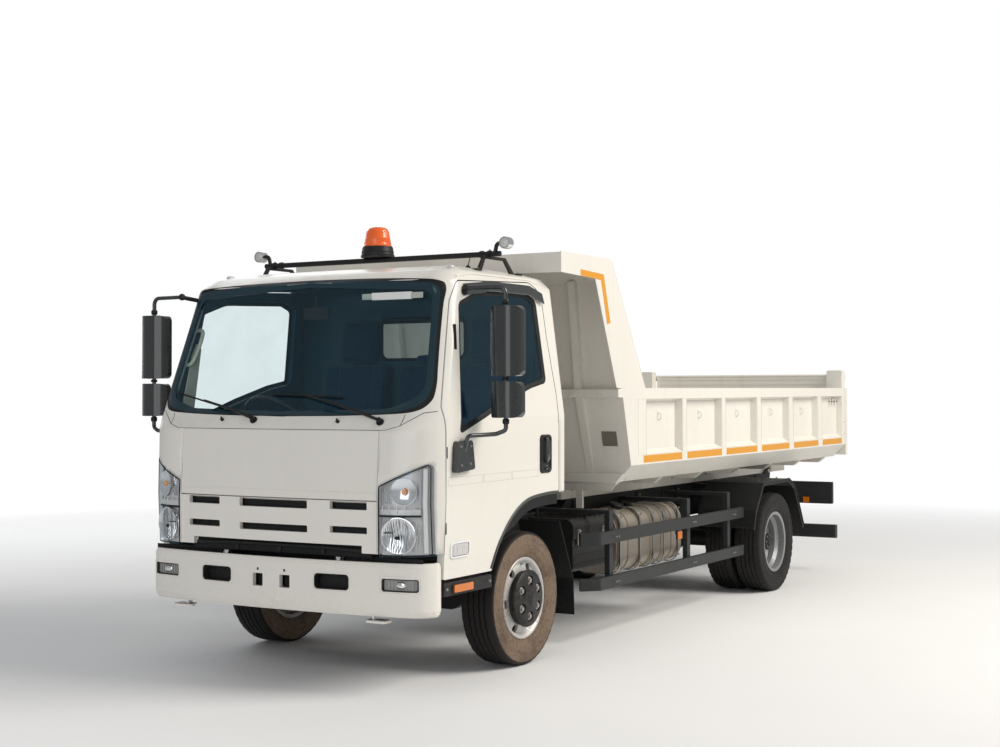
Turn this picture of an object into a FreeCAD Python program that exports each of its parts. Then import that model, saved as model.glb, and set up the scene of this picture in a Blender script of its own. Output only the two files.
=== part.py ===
# Light cab-over dump truck, right-hand drive, as an assembly of named pieces.
#
# Drawing datum, in millimetres: X to the truck's left, Y to the rear from the front axle,
# Z up from the ground.  save() moves the drawing so that the row's origin lies on the
# ground, midway between the front of the bumper and the back of the tailgate.
import FreeCAD
import Part
import math
import os

V = FreeCAD.Vector
os.makedirs("parts", exist_ok=True)

# ---------------------------------------------------------------- driving sizes
WHEELBASE = 3815.0
BUMPER_FRONT_Y = -1148.0        # foremost point of the bumper
BODY_REAR_Y = WHEELBASE + 1945.0       # rear skin of the tailgate
FIT = 0.3                       # clearance of a piece seated in or beside another
GAP = 6.0                       # clearance round a moving panel

# wheels and axles
TYRE_R = 385.0
TYRE_W = 215.0
RIM_FLANGE_R = 236.0
RIM_SEAT_R = 222.0
RIM_W = 160.0
FRONT_WHEEL_X = 844.5           # centre plane of a front tyre
DUAL_X = 825.0                  # centre plane of a pair of rear tyres
DUAL_SPACING = 243.0            # between the two tyres of a pair
WHEEL_Z = TYRE_R
KINGPIN_X = 735.0
KINGPIN_R = 15.0
SPINDLE_R = 32.0
AXLE_TUBE_R = 62.0
DIFF_R = 165.0
REAR_SPINDLE_R = 45.0

# chassis
RAIL_X = 425.0                  # outer face of a frame rail
RAIL_W = 65.0
RAIL_H = 190.0
RAIL_T = 7.0
RAIL_TOP = 780.0
RAIL_FRONT_Y = -1015.0
RAIL_REAR_Y = WHEELBASE + 1460.0
SUBFRAME_TOP = 842.0
HOIST_MEMBER_Y = WHEELBASE - 855.0      # cross member that carries the hoist
CROSS_MEMBERS = (-880.0, 1120.0, 2000.0, HOIST_MEMBER_Y, WHEELBASE + 685.0, WHEELBASE + 1375.0)
CROSS_W = 70.0
SPRING_W = 68.0

# cab
WALL = 45.0                     # cab wall and door thickness
PANEL = 26.0                    # front lid and grille thickness
PANEL_GAP = 3.0
FLOOR_T = 30.0
CAB_REAR_Y = 420.0
CAB_PIVOT = (-1070.0, 640.0)    # y, z of the cab's tilt axis
CAB_PIN_R = 10.0
CAB_EAR_T = 12.0                # thickness of the cab's hinge ear on the rail
GLASS_T = 6.0
GLASS_SET = 10.0                # depth of the glass below the outer skin
PANE_EASE = 0.9993
# height, half width, front y at centre, front y and x at the knee, start of the side, rear y
CAB_SECTIONS = (
    (560.0, 980.0, -1128.0, -1106.0, 650.0, -936.0, CAB_REAR_Y),
    (1000.0, 1000.0, -1136.0, -1112.0, 660.0, -936.0, CAB_REAR_Y),
    (1376.0, 1002.0, -1118.0, -1092.0, 680.0, -928.0, CAB_REAR_Y),
    (1440.0, 1002.0, -1066.0, -1036.0, 740.0, -915.0, CAB_REAR_Y),
    (2195.0, 908.0, -806.0, -768.0, 790.0, -668.0, CAB_REAR_Y - 8.0),
    (2252.0, 872.0, -706.0, -672.0, 740.0, -590.0, CAB_REAR_Y - 58.0),
    (2288.0, 760.0, -560.0, -530.0, 620.0, -470.0, CAB_REAR_Y - 150.0),
)
LID_HALF_W = 680.0
LID_BOTTOM = 1008.0
LID_TOP = 1372.0
GRILLE_BOTTOM = 728.0
GRILLE_NOTCH = 768.0            # underside of the grille between its two feet
GRILLE_FOOT_X = 585.0
GRILLE_VOID = 12.0              # depth of the air space behind the slots
# slots: x from, x to, z from, z to (left and right alike for the outer ones)
GRILLE_SLOTS = ((-235.0, 235.0, 952.0, 1000.0), (-235.0, 235.0, 824.0, 862.0),
                (384.0, 618.0, 956.0, 1000.0), (384.0, 618.0, 830.0, 866.0),
                (-618.0, -384.0, 956.0, 1000.0), (-618.0, -384.0, 830.0, 866.0))
LAMP_INNER_X = 690.0
LAMP_OUTER_X = 962.0
DOOR_FRONT_Y = -930.0
DOOR_REAR_Y = 300.0
DOOR_BOTTOM = 590.0

# dump body
BODY_HALF_W = 1004.0
BODY_FRONT_Y = 1395.0
SIDE_REAR_Y = WHEELBASE + 1885.0
BODY_FLOOR = 1000.0             # load floor
FLOOR_PLATE = 15.0
SIDE_TOP = 1600.0
SIDE_IN_X = BODY_HALF_W - 79.0          # inner face of the side wall
PANEL_OUT_X = BODY_HALF_W - 52.0        # recessed outer skin between the posts
SIDE_LOW_Z = 1095.0             # lower edge of the upright side
SIDE_FOOT_X = BODY_HALF_W - 109.0       # foot of the slanting side
POST_TOP = SIDE_TOP + 158.0
POST_IN_X = BODY_HALF_W - 140.0         # inner face of a rear corner post
CORNER_POST = 90.0              # length of a rear corner post
BAY = (SIDE_REAR_Y - BODY_FRONT_Y - 30.0) / 6   # pitch of the side posts
POST_WIDTHS = (123.0, 70.0, 70.0, 80.0, 90.0, 95.0)
SIDE_POSTS = [(BODY_FRONT_Y + k * BAY, BODY_FRONT_Y + k * BAY + w)
              for k, w in enumerate(POST_WIDTHS)] + [(SIDE_REAR_Y - CORNER_POST, SIDE_REAR_Y)]
TILT_PIVOT = (WHEELBASE + 1485.0, 860.0)        # y, z of the dump body's hinge
TILT_PIN_R = 16.0
DUMP_EAR_T = 16.0               # thickness of the dump hinge's ear on the rail
GATE_BAYS = 4
GATE_UPRIGHT = 60.0             # width of an upright
GATE_PIVOT = (SIDE_REAR_Y + 35.0, SIDE_TOP + 100.0)
GATE_FRONT_Y = SIDE_REAR_Y + GAP
GATE_TOP = SIDE_TOP + 125.0
GATE_PIN_R = 9.0
GATE_EARS = (BODY_HALF_W - 132.0, BODY_HALF_W - 120.0, BODY_HALF_W - 24.0, BODY_HALF_W - 12.0)

# hoist: barrel pivot and rod eye at rest, y and z
HOIST_BASE = (WHEELBASE - 755.0, 640.0)
HOIST_EYE = (WHEELBASE + 775.0, 890.0)
BARREL_R = 66.0
TRUNNION_HALF = 70.0            # half length of the barrel's trunnion
ROD_R = 38.0

# side and rear gear
GUARD_X = 985.0                 # outer face of the side guards
GUARD_POSTS = (1090.0, 2316.0, 3060.0)
TANK_Y = (1490.0, 2545.0)
SILENCER_AXIS = (-640.0, 500.0)         # x, z
SILENCER_Y = (900.0, 1700.0)
PIPE_R = 38.0
TANK_BOX = (470.0, 800.0, 355.0, 770.0)     # x and z limits
TANK_BAYS = 6                   # bays between the pressed ribs
TANK_BRACKETS = (1760.0, 2180.0)
BATTERY_Y = (860.0, 1345.0)
# the roof bar's line and radius
BAR_Y, BAR_Z, BAR_R = -140.0, 2378.0, 16.0
# wipers: pivot x, z, then the two ends of the blade
WIPERS = (((-179.0, 1420.0), (-840.0, -998.0, 1576.0), (-330.0, -1060.0, 1470.0)),
          ((667.0, 1416.0), (-95.0, -1036.0, 1566.0), (386.0, -1034.0, 1550.0)))
MIRROR_X = 1170.0
MIRROR_Y = {1: -600.0, -1: -820.0}      # left, right
TAIL_Y = WHEELBASE + 1395.0     # front face of the lamp board
JAW_HOLE_R = 20.0               # hole for the pin of the rear tow jaw
JAW_HOLE_Y = TAIL_Y + 145.0
JAW_PLATES = (622.0, 706.0)     # undersides of the jaw's two plates
JAW_T = 16.0
TIE_HOLE_R = 16.0               # hole in a front tie-down bracket
TIE_X, TIE_Y, TIE_Z = 690.0, -1084.0, 366.0

ROW_SHIFT = V(0, -(BUMPER_FRONT_Y + BODY_REAR_Y) / 2.0, 0)


# ---------------------------------------------------------------- shape helpers
def box(x0, x1, y0, y1, z0, z1):
    return Part.makeBox(x1 - x0, y1 - y0, z1 - z0, V(x0, y0, z0))


def fuse(shapes):
    shapes = list(shapes)
    if len(shapes) == 1:
        return shapes[0]
    return shapes[0].multiFuse(shapes[1:]).removeSplitter()


def flip(shape):
    return shape.mirror(V(0, 0, 0), V(1, 0, 0))


def both(shape):
    return Part.makeCompound([shape, flip(shape)])


def outline(points, to3d):
    """Closed wire through (a, b) or (a, b, radius) corners, rounded where a radius stands."""
    corners = [to3d(p[0], p[1]) for p in points]
    radii = [p[2] if len(p) > 2 else 0.0 for p in points]
    edges = []
    starts = []
    count = len(corners)
    for i in range(count):
        before, here, after = corners[i - 1], corners[i], corners[(i + 1) % count]
        if radii[i] <= 0:
            starts.append((here, here, None))
            continue
        to_before = (before - here).normalize()
        to_after = (after - here).normalize()
        half = to_before.getAngle(to_after) / 2.0
        reach = radii[i] / math.tan(half)
        middle = (to_before + to_after).normalize()
        top = here + middle * (radii[i] / math.sin(half) - radii[i])
        starts.append((here + to_before * reach, here + to_after * reach, top))
    for i in range(count):
        entry, leave, top = starts[i]
        if top is not None:
            edges.append(Part.Arc(entry, top, leave).toShape())
        nxt = starts[(i + 1) % count][0]
        if leave.distanceToPoint(nxt) > 1e-6:
            edges.append(Part.LineSegment(leave, nxt).toShape())
    return Part.Wire(edges)


def prism_x(points, x0, x1):
    """Extrude a (y, z) outline from x0 to x1."""
    wire = outline(points, lambda a, b: V(x0, a, b))
    return Part.Face(wire).extrude(V(x1 - x0, 0, 0))


def prism_y(points, y0, y1):
    """Extrude an (x, z) outline from y0 to y1."""
    wire = outline(points, lambda a, b: V(a, y0, b))
    return Part.Face(wire).extrude(V(0, y1 - y0, 0))


def prism_z(points, z0, z1):
    """Extrude an (x, y) outline from z0 to z1."""
    wire = outline(points, lambda a, b: V(a, b, z0))
    return Part.Face(wire).extrude(V(0, 0, z1 - z0))


def rod_x(x0, x1, y, z, r):
    return Part.makeCylinder(r, x1 - x0, V(x0, y, z), V(1, 0, 0))


def rod_z(x, y, z0, z1, r):
    return Part.makeCylinder(r, z1 - z0, V(x, y, z0), V(0, 0, 1))


def rod_between(start, end, r):
    line = end - start
    return Part.makeCylinder(r, line.Length, start, line)


def spun_x(profile, y, z):
    """Turn a closed (x, radius) outline about the X-parallel axis through y, z."""
    wire = outline(profile, lambda a, b: V(a, y, z + b))
    return Part.Face(wire).revolve(V(0, y, z), V(1, 0, 0), 360)


def bent_tube(points, r, bend):
    """Round tube along straight runs joined by arcs of the bend radius."""
    pts = [V(*p) for p in points]
    edges = []
    at = pts[0]
    for i in range(1, len(pts) - 1):
        back = (pts[i - 1] - pts[i]).normalize()
        ahead = (pts[i + 1] - pts[i]).normalize()
        half = back.getAngle(ahead) / 2.0
        reach = bend / math.tan(half)
        entry = pts[i] + back * reach
        leave = pts[i] + ahead * reach
        top = pts[i] + (back + ahead).normalize() * (bend / math.sin(half) - bend)
        edges.append(Part.LineSegment(at, entry).toShape())
        edges.append(Part.Arc(entry, top, leave).toShape())
        at = leave
    edges.append(Part.LineSegment(at, pts[-1]).toShape())
    spine = Part.Wire(edges)
    ring = Part.Wire(Part.makeCircle(r, pts[0], pts[1] - pts[0]))
    return spine.makePipeShell([ring], True, True)


def save(name, shape):
    placed = shape.copy()
    placed.translate(ROW_SHIFT)
    placed.exportStep("parts/%s.step" % name)
    print(name, len(placed.Solids), placed.isValid(), round(placed.Volume / 1e6, 2))


# ---------------------------------------------------------------- chassis
def frame_rail(side):
    """Channel rail, open to the middle, with the cab's hinge ear and the dump hinge's ear."""
    x0, x1 = sorted((side * (RAIL_X - RAIL_W), side * RAIL_X))
    rail = box(x0, x1, RAIL_FRONT_Y, RAIL_REAR_Y, RAIL_TOP - RAIL_H, RAIL_TOP)
    x2, x3 = sorted((side * (RAIL_X - RAIL_W - 1), side * (RAIL_X - RAIL_T)))
    rail = rail.cut(box(x2, x3, RAIL_FRONT_Y - 1, RAIL_REAR_Y + 1, RAIL_TOP - RAIL_H + RAIL_T,
                        RAIL_TOP - RAIL_T))
    cab_y, cab_z = CAB_PIVOT
    hinge_y, hinge_z = TILT_PIVOT
    cab_ear = prism_x(((RAIL_FRONT_Y + 60, RAIL_TOP - RAIL_H), (cab_y - 26, RAIL_TOP - RAIL_H, 20),
                       (cab_y - 26, cab_z + 26, 20), (cab_y + 26, cab_z + 26, 20),
                       (RAIL_FRONT_Y + 60, RAIL_TOP)), side * RAIL_X, side * (RAIL_X - CAB_EAR_T))
    cab_ear = cab_ear.cut(rod_x(x0 - 1, x1 + 1, cab_y, cab_z, CAB_PIN_R + FIT))
    dump_ear = prism_x(((RAIL_REAR_Y - 160, RAIL_TOP - RAIL_T), (hinge_y - 40, hinge_z + 32, 20),
                        (hinge_y + 34, hinge_z + 32, 30), (hinge_y + 34, hinge_z - 30, 30),
                        (RAIL_REAR_Y, RAIL_TOP - RAIL_H)), side * RAIL_X,
                       side * (RAIL_X - DUMP_EAR_T))
    dump_ear = dump_ear.cut(rod_x(x0 - 1, x1 + 1, hinge_y, hinge_z, TILT_PIN_R + FIT))
    return fuse([rail, cab_ear, dump_ear])


def subframe_rail(side):
    rear = TILT_PIVOT[0] - 110
    x0, x1 = sorted((side * (RAIL_X - RAIL_W), side * RAIL_X))
    return prism_x(((BODY_FRONT_Y, RAIL_TOP), (rear, RAIL_TOP), (rear, SUBFRAME_TOP),
                    (BODY_FRONT_Y + 70, SUBFRAME_TOP)), x0, x1)


def cross_member(y):
    """Channel member between the rails' webs."""
    web_x = RAIL_X - RAIL_T
    low, high = RAIL_TOP - RAIL_H + RAIL_T, RAIL_TOP - RAIL_T
    member = box(-web_x, web_x, y - CROSS_W / 2, y + CROSS_W / 2, low, high)
    return member.cut(box(-web_x, web_x, y - CROSS_W / 2 + RAIL_T, y + CROSS_W / 2 + 1,
                          low + RAIL_T, high - RAIL_T))


def tow_jaw():
    """Jaw for a drawbar's eye on the last cross member, with its pin's upright holes."""
    y0, y1 = CROSS_MEMBERS[-1] + CROSS_W / 2, JAW_HOLE_Y + 45
    low, high = JAW_PLATES
    pieces = [box(-110, 110, y0 - 24, y0, RAIL_TOP - RAIL_H + RAIL_T, RAIL_TOP - RAIL_T)]
    for z in JAW_PLATES:
        pieces.append(prism_z(((-90, y0 - 12), (90, y0 - 12), (62, y1, 50), (-62, y1, 50)), z, z + JAW_T))
    for x in (-76, 62):
        pieces.append(prism_x(((y0 - 12, low), (y0 + 70, low), (y0 + 50, high), (y0 - 12, high + JAW_T)),
                              x, x + 14))
    return fuse(pieces).cut(rod_z(0, JAW_HOLE_Y, low - 1, high + JAW_T + 1, JAW_HOLE_R))


def chassis_frame():
    """Rails, subframe and cross members, which meet face to face."""
    members = [cross_member(y) for y in CROSS_MEMBERS]
    members[-1] = members[-1].fuse(tow_jaw())
    by, bz = HOIST_BASE
    carrier = CROSS_MEMBERS.index(HOIST_MEMBER_Y)
    for side in (1, -1):
        x0, x1 = sorted((side * (TRUNNION_HALF + FIT), side * (TRUNNION_HALF + 14)))
        members[carrier] = members[carrier].fuse(
            prism_x(((by - 80, bz - 42), (by, bz - 42, 30), (by + 42, bz, 30), (by, bz + 42, 30),
                     (by - 80, bz + 60)), x0, x1))
    rails = [frame_rail(side) for side in (1, -1)]
    between = [subframe_rail(side) for side in (1, -1)] + members
    return Part.makeCompound(rails + [piece.cut(rails) for piece in between])


def engine_block():
    engine = prism_x(((-330, 480, 40), (470, 480, 30), (470, 900, 60), (-60, 900, 60), (-250, 780, 60),
                      (-330, 770)), -270, 270)
    gearbox = prism_x(((470, 480), (1020, 490), (1020, 700, 20), (470, 800)), -150, 150)
    half = RAIL_X - RAIL_W - 30
    radiator = box(-half, half, -470, -400, 470, 770)
    radiator = radiator.fuse(box(-half + 30, half - 30, -400, -330, 500, 560))
    return fuse([engine, gearbox, radiator])


def front_axle():
    eye_z0, eye_z1 = WHEEL_Z - 45, WHEEL_Z + 45
    beam = prism_y(((-KINGPIN_X, WHEEL_Z - 35), (-560, WHEEL_Z - 45), (-470, WHEEL_Z - 95, 60),
                    (470, WHEEL_Z - 95, 60), (560, WHEEL_Z - 45), (KINGPIN_X, WHEEL_Z - 35),
                    (KINGPIN_X, WHEEL_Z + 35), (520, WHEEL_Z + 25), (440, WHEEL_Z - 20, 60),
                    (-440, WHEEL_Z - 20, 60), (-520, WHEEL_Z + 25), (-KINGPIN_X, WHEEL_Z + 35)),
                   -38, 38)
    shape = beam
    for side in (1, -1):
        shape = shape.fuse(rod_z(side * KINGPIN_X, 0, eye_z0, eye_z1, 34))
    for side in (1, -1):
        shape = shape.cut(rod_z(side * KINGPIN_X, 0, eye_z0 - 1, eye_z1 + 1, KINGPIN_R + FIT))
        # the beam ends at its eye
        shape = shape.cut(box(*sorted((side * (KINGPIN_X + 34), side * (KINGPIN_X + 80))),
                              -60, 60, 0, 900))
    return shape


def rear_axle():
    x = DUAL_X - 60
    profile = ((-x, 0), (-x, AXLE_TUBE_R), (-260, AXLE_TUBE_R), (-120, DIFF_R, 90),
               (120, DIFF_R, 90), (260, AXLE_TUBE_R), (x, AXLE_TUBE_R), (x, 0))
    tube = spun_x(profile, WHEELBASE, WHEEL_Z)
    stub = rod_x(-DUAL_X - 120, DUAL_X + 120, WHEELBASE, WHEEL_Z, REAR_SPINDLE_R)
    nose = rod_between(V(0, WHEELBASE, WHEEL_Z), V(0, WHEELBASE - 300, WHEEL_Z), 85)
    return fuse([tube, stub, nose])


def leaf_pack(y, z_seat, half_span, leaves, x0, x1):
    """Leaves clamped on a seat at z_seat, their ends rising to eyes under the rail."""
    pieces = []
    leaf = 11.0
    for i in range(leaves):
        span = half_span * (1.0 - 0.17 * i)
        z = z_seat + leaf * (leaves - 1 - i)
        rise = 52.0 * (span / half_span) ** 2
        pieces.append(prism_x(((y - span, z + rise), (y, z - 0.0), (y + span, z + rise),
                               (y + span, z + rise + leaf), (y, z + leaf),
                               (y - span, z + rise + leaf)), x0, x1))
    top = z_seat + leaf * (leaves - 1) + 52.0
    for end in (-1, 1):
        ey = y + end * half_span
        eye = rod_x(x0, x1, ey, top + leaf / 2 + 6, 20)
        hanger = prism_x(((ey - 34, RAIL_TOP - RAIL_H), (ey - 22, top - 16, 14),
                          (ey + 22, top - 16, 14), (ey + 34, RAIL_TOP - RAIL_H)), x0, x1)
        pieces += [eye, hanger]
    pieces.append(box(x0, x1, y - 55, y + 55, z_seat - 6, z_seat + leaf * leaves + 14))
    return fuse(pieces)


def leaf_springs():
    fx0, fx1 = RAIL_X - RAIL_W, RAIL_X - RAIL_W + SPRING_W
    front = leaf_pack(0.0, WHEEL_Z - 20 + 6 + FIT, 600.0, 4, fx0, fx1)
    rx0 = RAIL_X + 32
    rear = leaf_pack(WHEELBASE, WHEEL_Z + AXLE_TUBE_R + 6 + FIT, 640.0, 6, rx0, rx0 + SPRING_W)
    hangers = []
    for y in (WHEELBASE - 640.0, WHEELBASE + 640.0):
        hangers.append(box(RAIL_X, rx0 + SPRING_W, y - 40, y + 40, RAIL_TOP - RAIL_H,
                           RAIL_TOP - RAIL_H + 120))
    rear = fuse([rear] + hangers)
    return Part.makeCompound([front, flip(front), rear, flip(rear)])


def propeller_shaft():
    front = V(0, 1020 + FIT, 548)
    middle = V(0, 2300, 505)
    rear = V(0, WHEELBASE - 300 - FIT, WHEEL_Z)
    along = V(0, 1, 0)
    pieces = [Part.makeCylinder(60, 24, front, along), Part.makeCylinder(60, 24, rear, along * -1),
              rod_between(front + along * 12, middle, 42), rod_between(middle, rear - along * 12, 42),
              Part.makeSphere(56, middle)]
    return fuse(pieces)


BUMPER_PLAN = ((0.0, BUMPER_FRONT_Y), (835.0, -1090.0), (975.0, -985.0))
BUMPER_REAR_Y = -945.0
BUMPER_LOW, BUMPER_HIGH = 400.0, 682.0
BUMPER_T = 28.0
# openings of the bumper's left half: x from, x to, z from, z to, corner radius
BUMPER_HOLES = ((288.0, 509.0, 528.0, 612.0, 22.0), (706.0, 915.0, 534.0, 602.0, 12.0),
                (58.0, 128.0, 520.0, 590.0, 6.0))


def bumper_band(grow, z0, z1, rear):
    """Plan form of the bumper from z0 to z1, its face pulled back by grow."""
    (cx, cy), (bx, by), (ex, ey) = BUMPER_PLAN
    x_in, y_in = ex - grow, ey
    knee_x, knee_y = bx - grow * 0.6, by + grow
    corner_x, corner_y = (ex + bx) / 2 + 26 - grow * 0.8, (ey + by) / 2 - 14 + grow * 0.8
    edges = [Part.LineSegment(V(-x_in, rear, z0), V(-x_in, y_in, z0)).toShape(),
             Part.Arc(V(-x_in, y_in, z0), V(-corner_x, corner_y, z0), V(-knee_x, knee_y, z0)).toShape(),
             Part.Arc(V(-knee_x, knee_y, z0), V(cx, cy + grow, z0), V(knee_x, knee_y, z0)).toShape(),
             Part.Arc(V(knee_x, knee_y, z0), V(corner_x, corner_y, z0), V(x_in, y_in, z0)).toShape(),
             Part.LineSegment(V(x_in, y_in, z0), V(x_in, rear, z0)).toShape(),
             Part.LineSegment(V(x_in, rear, z0), V(-x_in, rear, z0)).toShape()]
    return Part.Face(Part.Wire(edges)).extrude(V(0, 0, z1 - z0))


def front_bumper():
    skin = bumper_band(0, BUMPER_LOW, BUMPER_HIGH, BUMPER_REAR_Y)
    skin = skin.cut(bumper_band(BUMPER_T, BUMPER_LOW - 1, BUMPER_HIGH + 1, BUMPER_REAR_Y + 200))
    # the face steps back at its upper and lower edges: height, how tall, how deep
    for z, height, depth in ((BUMPER_LOW, 12.0, 14.0), (BUMPER_LOW + 12, 16.0, 5.0),
                             (BUMPER_HIGH - 8, 10.0, 8.0), (BUMPER_HIGH - 20, 12.0, 3.0)):
        ring = bumper_band(-40, z, z + height, BUMPER_REAR_Y + 200)
        skin = skin.cut(ring.cut(bumper_band(depth, z, z + height, BUMPER_REAR_Y + 200)))
    for side in (1, -1):
        for x0, x1, z0, z1, r in BUMPER_HOLES:
            skin = skin.cut(prism_y(((side * x0, z0, r), (side * x1, z0, r), (side * x1, z1, r),
                                     (side * x0, z1, r)), -1300, -1000))
    # beam behind the skin, its two arms to the rail ends and the tie-down brackets
    beam_y = BUMPER_FRONT_Y + 52
    pieces = [skin, box(-700, 700, beam_y, beam_y + 20, 430, 510)]
    for side in (1, -1):
        x0, x1 = sorted((side * (RAIL_X - RAIL_W), side * (RAIL_X - RAIL_W + 40)))
        pieces.append(box(x0, x1, BUMPER_FRONT_Y + BUMPER_T - 4, RAIL_FRONT_Y + 60, 440, 500))
        pieces.append(box(x0, x1, RAIL_FRONT_Y - 10, RAIL_FRONT_Y + 60, 500, RAIL_TOP - RAIL_H))
        bracket = prism_z(((side * 605, beam_y + 16), (side * 605, TIE_Y - 34, 20),
                           (side * 735, TIE_Y - 34, 20), (side * 735, beam_y + 40)), TIE_Z, TIE_Z + 12)
        bracket = bracket.cut(rod_z(side * TIE_X, TIE_Y, TIE_Z - 1, TIE_Z + 13, TIE_HOLE_R))
        x0, x1 = sorted((side * 640, side * 652))
        pieces += [bracket, box(x0, x1, beam_y, beam_y + 34, TIE_Z, 440)]
    return fuse(pieces)


# ---------------------------------------------------------------- cab
def cab_loft(inset):
    """Cab skin through its level sections, pulled in by the inset."""
    wires = []
    last = len(CAB_SECTIONS) - 1
    for i, (z, w, y0, yk, xk, ys, yr) in enumerate(CAB_SECTIONS):
        w, xk, y0, yk, ys, yr = w - inset, xk - inset * 0.4, y0 + inset, yk + inset, ys, yr - inset
        if i == last:
            z -= inset
        elif i == last - 1:
            z -= inset * 0.6
        bend_x = xk + (w - xk) * 0.80
        bend_y = yk + (ys - yk) * 0.46
        r = 60.0
        pts = [V(-xk, yk, z), V(0, y0, z), V(xk, yk, z), V(bend_x, bend_y, z), V(w, ys, z),
               V(w, yr - r, z), V(w - r * 0.29, yr - r * 0.29, z), V(w - r, yr, z),
               V(-w + r, yr, z), V(-w + r * 0.29, yr - r * 0.29, z), V(-w, yr - r, z),
               V(-w, ys, z), V(-bend_x, bend_y, z)]
        edges = [Part.Arc(pts[0], pts[1], pts[2]).toShape(),
                 Part.Arc(pts[2], pts[3], pts[4]).toShape(),
                 Part.LineSegment(pts[4], pts[5]).toShape(),
                 Part.Arc(pts[5], pts[6], pts[7]).toShape(),
                 Part.LineSegment(pts[7], pts[8]).toShape(),
                 Part.Arc(pts[8], pts[9], pts[10]).toShape(),
                 Part.LineSegment(pts[10], pts[11]).toShape(),
                 Part.Arc(pts[11], pts[12], pts[0]).toShape()]
        wires.append(Part.Wire(edges))
    return Part.makeLoft(wires, True, True)


# underside of the cab floor: y, z from the front to the rear, over the wheel arch
UNDERSIDE = ((-1300.0, GRILLE_BOTTOM), (-936.0, GRILLE_BOTTOM), (-900.0, 800.0), (-330.0, 800.0),
             (-229.0, 880.0), (-66.0, 955.0), (145.0, 982.0), (700.0, 982.0))
FLOOR_LINE = ((-1300.0, 800.0),) + UNDERSIDE[3:]
FRONT_WALL_Y = -1062.0
FRONT_GAP_TOP = GRILLE_NOTCH + 40.0     # top of the gap in the wall behind the grille's notch
ARCH = ((145.0, 980.0), (-66.0, 958.0), (-229.0, 877.0), (-366.0, 737.0), (-440.0, 612.0, 10.0))
WINDOW = ((-800.0, 1352.0, 20.0), (-560.0, 1430.0, 300.0), (-300.0, 1515.0), (4.0, 1599.0, 300.0),
          (196.0, 1632.0, 40.0), (177.0, 2120.0, 60.0), (60.0, 2160.0), (-480.0, 2140.0, 300.0),
          (-690.0, 2070.0, 60.0))


def on_side(side, shape):
    """The shape as drawn for the truck's left, or its mirror image for the right."""
    return shape if side > 0 else flip(shape)


def door_outline(gap):
    """Side outline of a door; a positive gap gives the opening around it."""
    return ((DOOR_FRONT_Y - gap, DOOR_BOTTOM - gap, 12), (DOOR_FRONT_Y - gap, 1500, 60),
            (-745 - gap, 2080, 90), (-680 - gap * 0.5, 2186 + gap, 45), (140 + gap, 2222 + gap, 70),
            (248 + gap, 2150 + gap * 0.4, 60), (258 + gap, 1900), (DOOR_REAR_Y + gap, 1560, 200),
            (DOOR_REAR_Y + gap, ARCH[0][1] - gap)) + tuple(
                (y, z - gap * 1.1) for y, z in ARCH[:4]) + (
                (ARCH[4][0] + (0 if gap == 0 else -2), DOOR_BOTTOM - gap, 12),)


def above(path, lift):
    """Everything over a (y, z) path raised by lift, as a prism across the cab."""
    pts = tuple((y, z + lift) for y, z in path)
    return prism_x(pts + ((700.0, 2600.0), (-1300.0, 2600.0)), -1200, 1200)


WINDSCREEN = ((-905, 1545, 120), (-690, 1472, 300), (0, 1456), (690, 1472, 300), (905, 1545, 120),
              (838, 2150, 90), (0, 2192), (-838, 2150, 90))
# the screen stays in front of this slanting (y, z) zone's rear edge
SCREEN_ZONE = ((-1300, 1300), (-1024, 1300), (-752, 2200), (-735, 2260), (-1300, 2260))
REAR_WINDOW = ((-560, 1560, 60), (560, 1560, 60), (560, 2040, 60), (-560, 2040, 60))


def eased(points, a0, b0):
    """A window's outline, shrunk a little about a point so that the pane fits its hole."""
    return tuple((a0 + (p[0] - a0) * PANE_EASE, b0 + (p[1] - b0) * PANE_EASE) + p[2:] for p in points)


def front_zone(z0, z1, half_w, rear=-880.0):
    return box(-half_w, half_w, -1300, rear, z0, z1)


def lamp_outline(gap):
    """Headlamp outline in front view (x, z), for the truck's left."""
    return ((LAMP_INNER_X - gap, 716 - gap, 16), (LAMP_OUTER_X + gap, 716 - gap, 16),
            (LAMP_OUTER_X + gap, 1215 + gap, 24), (LAMP_INNER_X - gap, 1085 + gap, 24))


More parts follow.
